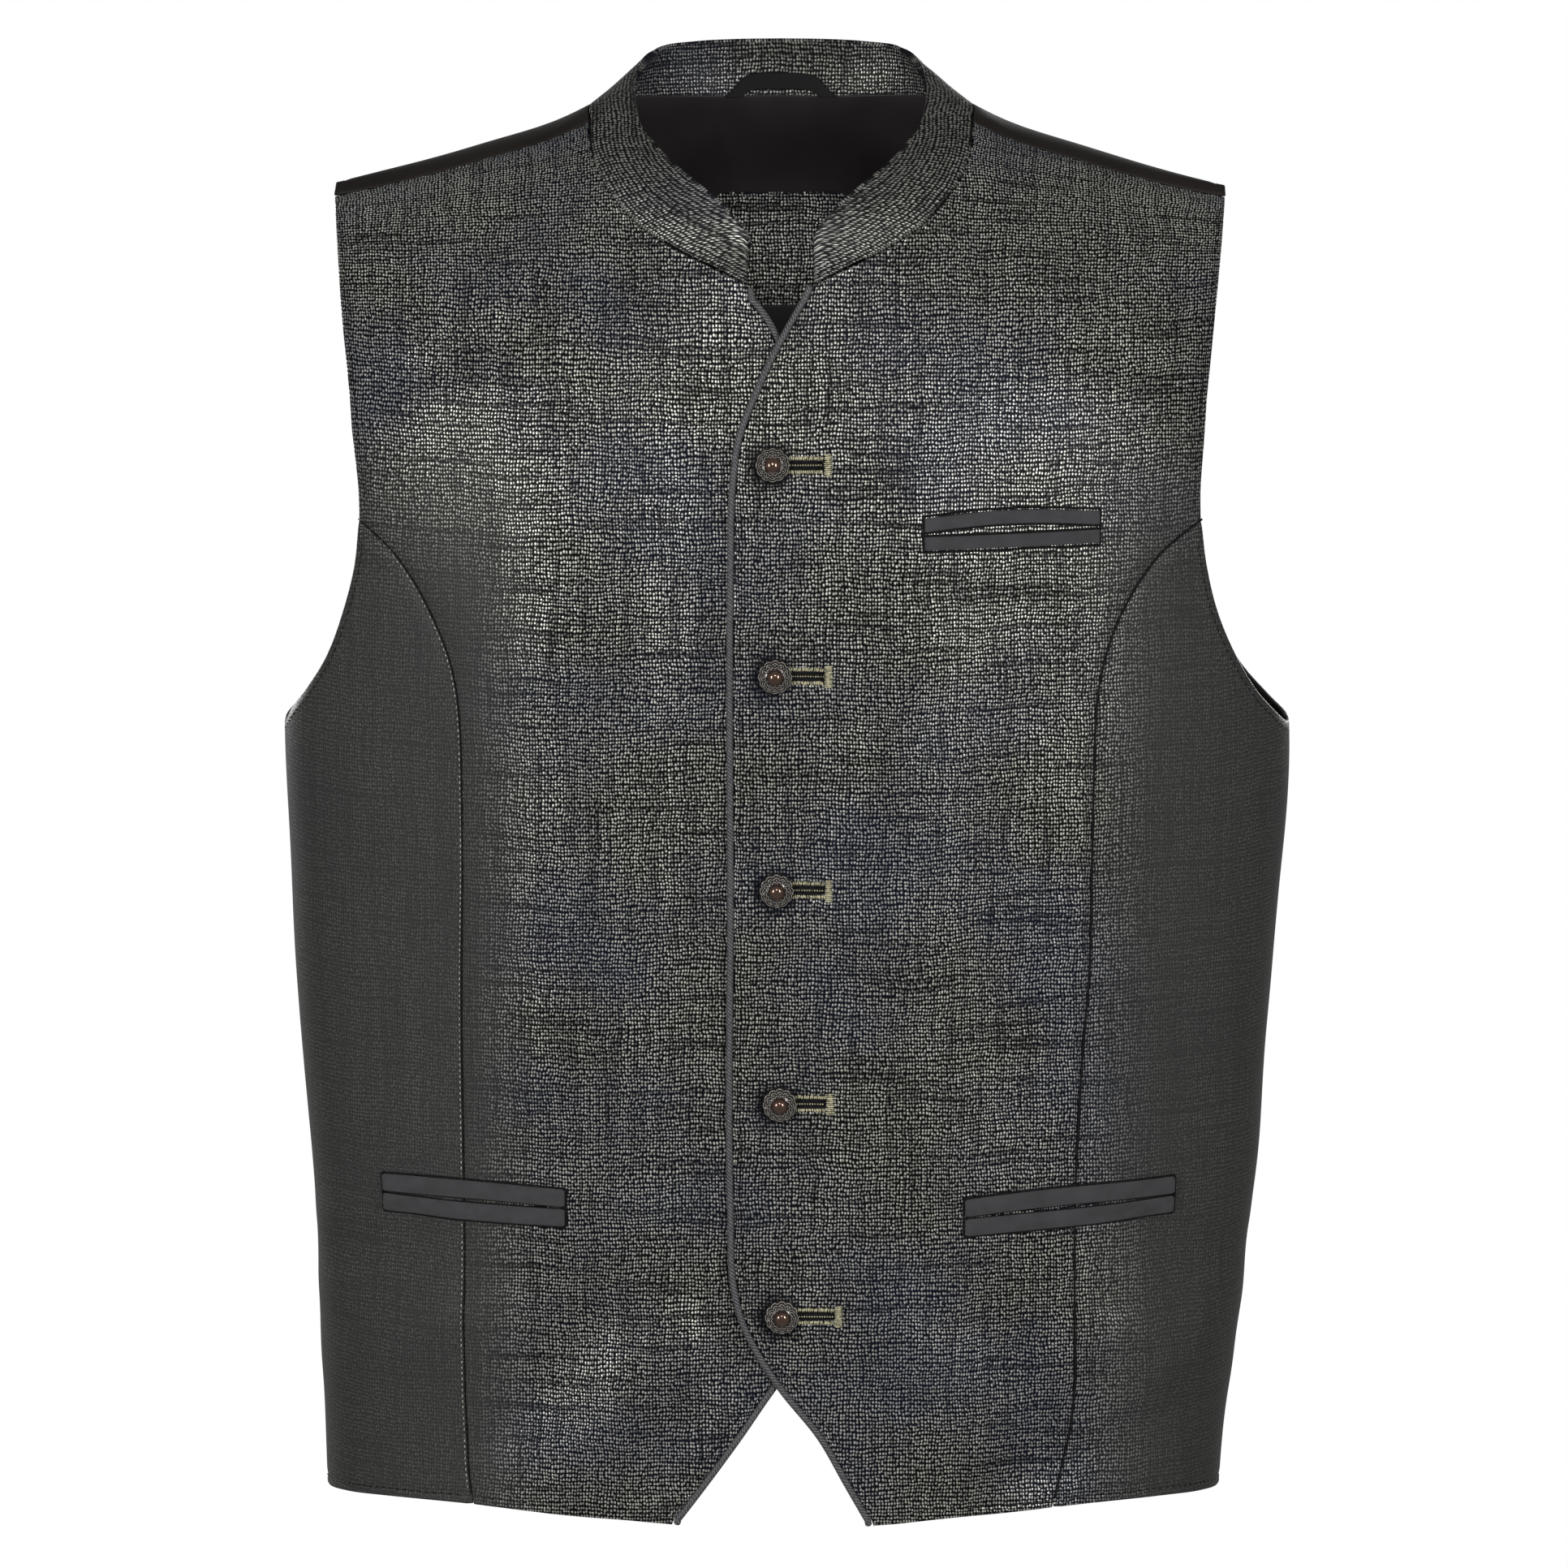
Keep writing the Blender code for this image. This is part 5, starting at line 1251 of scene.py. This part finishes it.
def welt_finish():
    """Plain matt dark cloth, fine enough that only a faint nap shows."""
    made, tree, shader = new_material("welt")
    place = shader_node(tree, "ShaderNodeUVMap", {"uv_map": "cloth"}).outputs[0]
    nap = stretched_noise(tree, place, 2400.0, 2600.0, 3.0).outputs[0]
    cloud = stretched_noise(tree, place, 120.0, 160.0, 3.0).outputs[0]
    share = figured(tree, "MULTIPLY_ADD", cloud, 0.5, figured(tree, "MULTIPLY", nap, 0.5))
    colour = blended(tree, ramped(tree, share, 0.3, 0.7), (0.043, 0.043, 0.046, 1),
                     (0.066, 0.066, 0.071, 1))
    tree.links.new(colour, shader.inputs["Base Color"])
    raised = shader_node(tree, "ShaderNodeBump", Height=nap, Strength=0.35,
                         Distance=0.08 * MM).outputs[0]
    tree.links.new(raised, shader.inputs["Normal"])
    shader.inputs["Roughness"].default_value = 0.85
    shader.inputs["Sheen Weight"].default_value = 0.15
    return made


def pocket_line(pocket, run, rise, upward):
    """x and z over a pocket: run along the slit, rise away from it, bowed on the upper side."""
    x = pocket["x_inner"] + (pocket["x_outer"] - pocket["x_inner"]) * run + 0 * rise
    z = pocket["z_inner"] + (pocket["z_outer"] - pocket["z_inner"]) * run
    bowed = pocket["bow"] * np.sin(math.pi * run) if upward > 0 else 0 * run
    return x, z + upward * (pocket["gap"] + bowed + rise)


welt = welt_finish()
for index, pocket_name in enumerate(POCKET_NAMES):
    pocket = {key: values[index] for key, values in POCKET.items()}
    side = math.copysign(1, pocket["x_inner"])
    outline = []
    for kind, upward in (("_upper_welt", 1), ("_lower_welt", -1)):
        run = np.linspace(0, 1, 61)[None, :]
        rise = np.linspace(0, pocket["welt"], 13)[:, None]
        x, z = pocket_line(pocket, run, rise, upward)
        places = chart(x, z)
        crown = 0.25 * np.sin(math.pi * rise / pocket["welt"]) + 0 * run
        made = wall(pocket_name + kind + "_cloth",
                    cloth(places, side, out=WELT_LIFT + WELT_CLOTH + crown),
                    cloth(places, side, out=0.05 + 0 * crown),
                    np.stack((x, z), axis=-1) * MM, rounded=0.55, gap=0.0)
        made.data.materials.append(welt)
        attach(made, "root")
        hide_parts(pocket_name + kind)
        trims[side].append(made)
        beyond = pocket["welt"] + 0.35
        run = np.concatenate((np.full(6, -0.006), np.linspace(0, 1, 60), np.full(6, 1.006)))
        rise = np.concatenate((np.linspace(0, beyond * 0.85, 6), np.full(60, beyond),
                               np.linspace(beyond * 0.85, 0, 6)))
        outline.append(np.stack(pocket_line(pocket, run, rise, upward), axis=1))
    whole = np.concatenate((outline[0], outline[1][::-1], outline[0][:1]))
    # Painted shade: a thin black tube round each pair of welts stands for the dark of its seam, and
    # one along each lip for the dark of the slit.
    points, _ = front_point(whole[:, 0], whole[:, 1], 0.28, side)
    shade_tubes = [tube(pocket_name + "_seam", along(points, graded(420)), 0.42, 8)]
    for kind, upward in (("_upper_lip_shade", 1), ("_lower_lip_shade", -1)):
        run = np.linspace(0.006, 0.994, 80)
        x, z = pocket_line(pocket, run, 0.1 + 0 * run, upward)
        points, _ = front_point(x, z, 0.75, side)
        shade_tubes.append(tube(pocket_name + kind, points, 0.40, 8))
    for seam in shade_tubes:
        seam.data.materials.append(black_thread_and_shade)
        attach(seam, "root")
        trims[side].append(seam)

# Buttons: five cast metal buttons with a dark, rubbed finish. A smooth dome stands in a wreath
# of double-lined scallops, and a shank passes through the slit to the front beneath.
BUTTON_RADIUS = 6.5
DOME_RADIUS = 2.75
SCALLOPS = 12
BUTTON_PROFILE = table(
    ("radius", "height"),
    (0.0, 5.3), (2.0, 5.1), (3.0, 4.75), (4.2, 4.2), (5.3, 3.4), (6.1, 2.6), (6.5, 1.9))
RIDGES = table(
    ("middle", "depth", "offset", "width"),
    (6.15, 0.60, 0.0, 0.13), (5.25, 0.75, 0.0, 0.12), (3.95, 0.60, 0.5, 0.12))
PEARL_CIRCLE = 4.5
PEARL_RADIUS = 0.24
RIDGE_HEIGHT = 0.45
METAL_HOLLOW = (0.022, 0.015, 0.013, 1)
METAL_RUBBED = (0.92, 0.89, 0.80, 1)
METAL_DOME = (0.22, 0.125, 0.09, 1)
BUTTON_RINGS = 70
BUTTON_TURNS = 192


def button_face(radius, angle):
    """Height of a button's face, how rubbed it is, and where its dome is.

    Each ridge of the wreath is a bell curve over the distance from a scalloped circle, whose
    radius falls by the square of the angle from the middle of its scallop.
    """
    height = read(BUTTON_PROFILE, "radius", "height", radius)
    turn = angle * SCALLOPS / (2 * math.pi)
    ridge = np.zeros_like(radius)
    for middle, depth, offset, width in zip(*RIDGES.values()):
        part = turn + offset - np.round(turn + offset)
        circle = middle - depth * (2 * part) ** 2
        ridge = np.maximum(ridge, np.exp(-((radius - circle) / width) ** 2))
    pearl = turn - np.round(turn)
    aside = pearl * 2 * math.pi / SCALLOPS * PEARL_CIRCLE
    pearls = np.exp(-((radius - PEARL_CIRCLE) / PEARL_RADIUS) ** 2 - (aside / PEARL_RADIUS) ** 2)
    ridge = np.maximum(ridge, pearls)
    wreath = smooth_step(radius, DOME_RADIUS, DOME_RADIUS + 0.3)
    ridge = ridge * wreath * (1 - smooth_step(radius, 6.2, 6.45))
    dome = np.sqrt(np.maximum(DOME_RADIUS ** 2 - radius ** 2, 0)) * 0.42
    groove = -0.35 * np.exp(-((radius - DOME_RADIUS - 0.12) / 0.16) ** 2)
    return height + RIDGE_HEIGHT * ridge + dome + groove - 0.25 * wreath, ridge, 1 - wreath


def button_finish():
    """Dark cast metal: brown-black in the hollows, pale on the ridges, brown on the dome."""
    made, tree, shader = new_material("antique_metal")
    rubbed = shader_node(tree, "ShaderNodeAttribute", {"attribute_name": "rubbed"}).outputs["Fac"]
    place = shader_node(tree, "ShaderNodeTexCoord").outputs["Object"]
    noise = shader_node(tree, "ShaderNodeTexNoise", Vector=place, Scale=1500.0, Detail=3.0)
    uneven = figured(tree, "MULTIPLY_ADD", noise.outputs[0], 0.5, -0.25)
    share = ramped(tree, figured(tree, "ADD", rubbed, uneven), 0.42, 0.85)
    colour = blended(tree, share, METAL_HOLLOW, METAL_RUBBED)
    dome = shader_node(tree, "ShaderNodeAttribute", {"attribute_name": "dome"}).outputs["Fac"]
    colour = blended(tree, dome, colour, METAL_DOME)
    tree.links.new(colour, shader.inputs["Base Color"])
    tree.links.new(figured(tree, "MULTIPLY_ADD", share, 0.22, 0.15), shader.inputs["Roughness"])
    tree.links.new(figured(tree, "MULTIPLY_ADD", dome, 0.65, 0.30), shader.inputs["Metallic"])
    shader.inputs["Coat Weight"].default_value = 1.0
    shader.inputs["Coat Roughness"].default_value = 0.12
    return made


def button(name, middle, normal):
    """A button as one turned surface: face, rim, underside and shank on rings of one grid."""
    z_axis = normal / np.linalg.norm(normal)
    x_axis = np.cross((0.0, 0.0, 1.0), z_axis)
    x_axis /= np.linalg.norm(x_axis)
    axes = np.stack((x_axis, np.cross(z_axis, x_axis), z_axis))
    ring = np.linspace(0.0, 1.0, BUTTON_RINGS) ** 0.9 * BUTTON_RADIUS
    ring[0] = 0.02
    angle = np.linspace(0, 2 * math.pi, BUTTON_TURNS, endpoint=False)
    radius = ring[:, None] + 0 * angle[None]
    height, rubbed, dome = button_face(radius, angle[None] + 0 * radius)
    below = table(("radius", "height"), (6.55, 1.5), (6.4, 1.0), (6.0, 0.6), (5.0, 0.45),
                  (1.3, 0.45), (1.1, 0.2), (1.1, -2.0), (1.7, -2.3), (1.7, -2.5), (0.02, -2.5))
    radius = np.concatenate((radius, below["radius"][:, None] + 0 * angle[None]))
    height = np.concatenate((height, below["height"][:, None] + 0 * angle[None]))
    plain = 0 * below["radius"][:, None] + 0 * angle[None]
    points = np.stack((radius * np.cos(angle), radius * np.sin(angle), height), axis=-1)
    points = points @ axes + middle
    rings = len(radius)
    number = np.arange(rings * BUTTON_TURNS).reshape(rings, BUTTON_TURNS)
    turned = np.roll(number, -1, axis=1)
    sides = np.stack((number[:-1], number[1:], turned[1:], turned[:-1]), -1).reshape(-1, 4)
    mesh = bpy.data.meshes.new(name)
    mesh.from_pydata((points.reshape(-1, 3) * MM).tolist(), [],
                     sides.tolist() + [number[0].tolist(), number[-1, ::-1].tolist()])
    for mark, values in (("rubbed", rubbed), ("dome", dome)):
        field = mesh.attributes.new(mark, "FLOAT", "POINT")
        field.data.foreach_set("value", np.concatenate((values, plain)).ravel())
    mesh.shade_smooth()
    mesh.set_sharp_from_angle(angle=math.radians(50))
    return placed(name, mesh)


metal = button_finish()
for index, (z, x) in enumerate(zip(BUTTON_TABLE["z"], BUTTON_TABLE["x"]), 1):
    middle, normal = front_point(x, z)
    made = button("button_%d_cast" % index, middle, normal)
    made.data.materials.append(metal)
    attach(made, "root")
    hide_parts("button_%d" % index)

# Topstitching: a row of dark stitches just inside the armholes, hem and front edges, a black
# tube sunk in each princess seam as painted shade of its groove, and small pale stitches beside
# the wearer's right one.
STITCH = 2.3
STITCH_GAP = 0.9
STITCH_SUNK = -0.12
SEAM_THREAD = (0.55, 0.54, 0.48, 1.0)


def inside_line(name, edge, distance, first=0, last=None):
    """Places on a piece at a distance from one of its edges, between two rows or columns."""
    places = panel_places[name]
    points = panel_grids[name]
    if edge in ("foot", "top"):
        places = places.transpose(1, 0, 2)
        points = points.transpose(1, 0, 2)
    if edge in ("last", "top"):
        places = places[:, ::-1]
        points = points[:, ::-1]
    places = places[first:last, :12]
    reach = run_of(points[first:last, :12], 1)
    index = np.argmax(reach > distance, axis=1)[:, None]
    near = np.take_along_axis(reach, index - 1, 1)
    far = np.take_along_axis(reach, index, 1)
    part = ((distance - near) / (far - near))[..., None]
    before = np.take_along_axis(places, index[..., None] - 1, 1)
    after = np.take_along_axis(places, index[..., None], 1)
    return (before * (1 - part) + after * part)[:, 0]


def stitched(line, side, behind, length, pause, lift):
    """Start, end and normal of each stitch of a row along a line of places."""
    tables = BACK_TABLES if behind else None
    path = cloth(line, side, behind, lift, tables)
    reach = run_of(path[:, None], 0)[:, 0]
    start = np.arange(2.0, reach[-1] - length - 1.0, length + pause)
    ends = [np.stack([np.interp(at, reach, path[:, axis]) for axis in range(3)], -1)
            for at in (start, start + length)]
    normal = outward(line[..., 0], line[..., 1], behind)
    normal = np.stack([np.interp(start, reach, normal[:, axis]) for axis in range(3)], -1)
    return ends[0], ends[1], normal


rows_below = len(SEAM_ROWS) - 1
dark_rows = []
for name, side in PANEL_NAMES:
    for piece, edge, first, last, lift in (
            ("_front", "first", 4, len(EDGE_ROWS) - 2, STITCH_SUNK),
            ("_front", "foot", 3, -1, STITCH_SUNK),
            ("_front", "last", rows_below + 2, -2, STITCH_SUNK),
            ("_side_front", "foot", 1, -1, STITCH_SUNK), ("_side_front", "top", 2, -2, 0.05)):
        line = inside_line(name + piece, edge, STITCH_INSET, first, last)
        dark_rows.append(stitched(line, side, False, STITCH, STITCH_GAP, lift))
for edge, first in (("foot", 1), ("first", rows_below + 2), ("last", rows_below + 2)):
    line = inside_line("back", edge, STITCH_INSET, first, -1 if edge == "foot" else -2)
    dark_rows.append(stitched(line, 0, True, STITCH, STITCH_GAP, STITCH_SUNK))
dark_stitches = threads("dark_stitches", *(np.concatenate(part) for part in zip(*dark_rows)),
                        0.2, rise=0.5)
dark_stitches.data.materials.append(black_thread_and_shade)
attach(dark_stitches, "root")
# Painted shade: a thin black tube laid in each princess seam stands for the dark of its groove.
for name, side, radius in (("right", -1, 0.20), ("left", 1, 0.42)):
    line = panel_places[name + "_front"][3:rows_below + 1, -1]
    path = along(cloth(line, side, out=-0.25), graded(260))
    seam = tube(name + "_princess_seam_shade", path, radius, 8)
    seam.data.materials.append(black_thread_and_shade)
    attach(seam, "root")
light_thread = thread_finish("seam_thread", SEAM_THREAD)
start, end, normal = stitched(inside_line("right_side_front", "first", 0.9, 3, rows_below - 2),
                              -1, False, 1.2, 1.0, 0.0)
light_stitches = threads("light_stitches", start, end, normal, 0.3, rise=0.8)
light_stitches.data.materials.append(light_thread)
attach(light_stitches, "root")
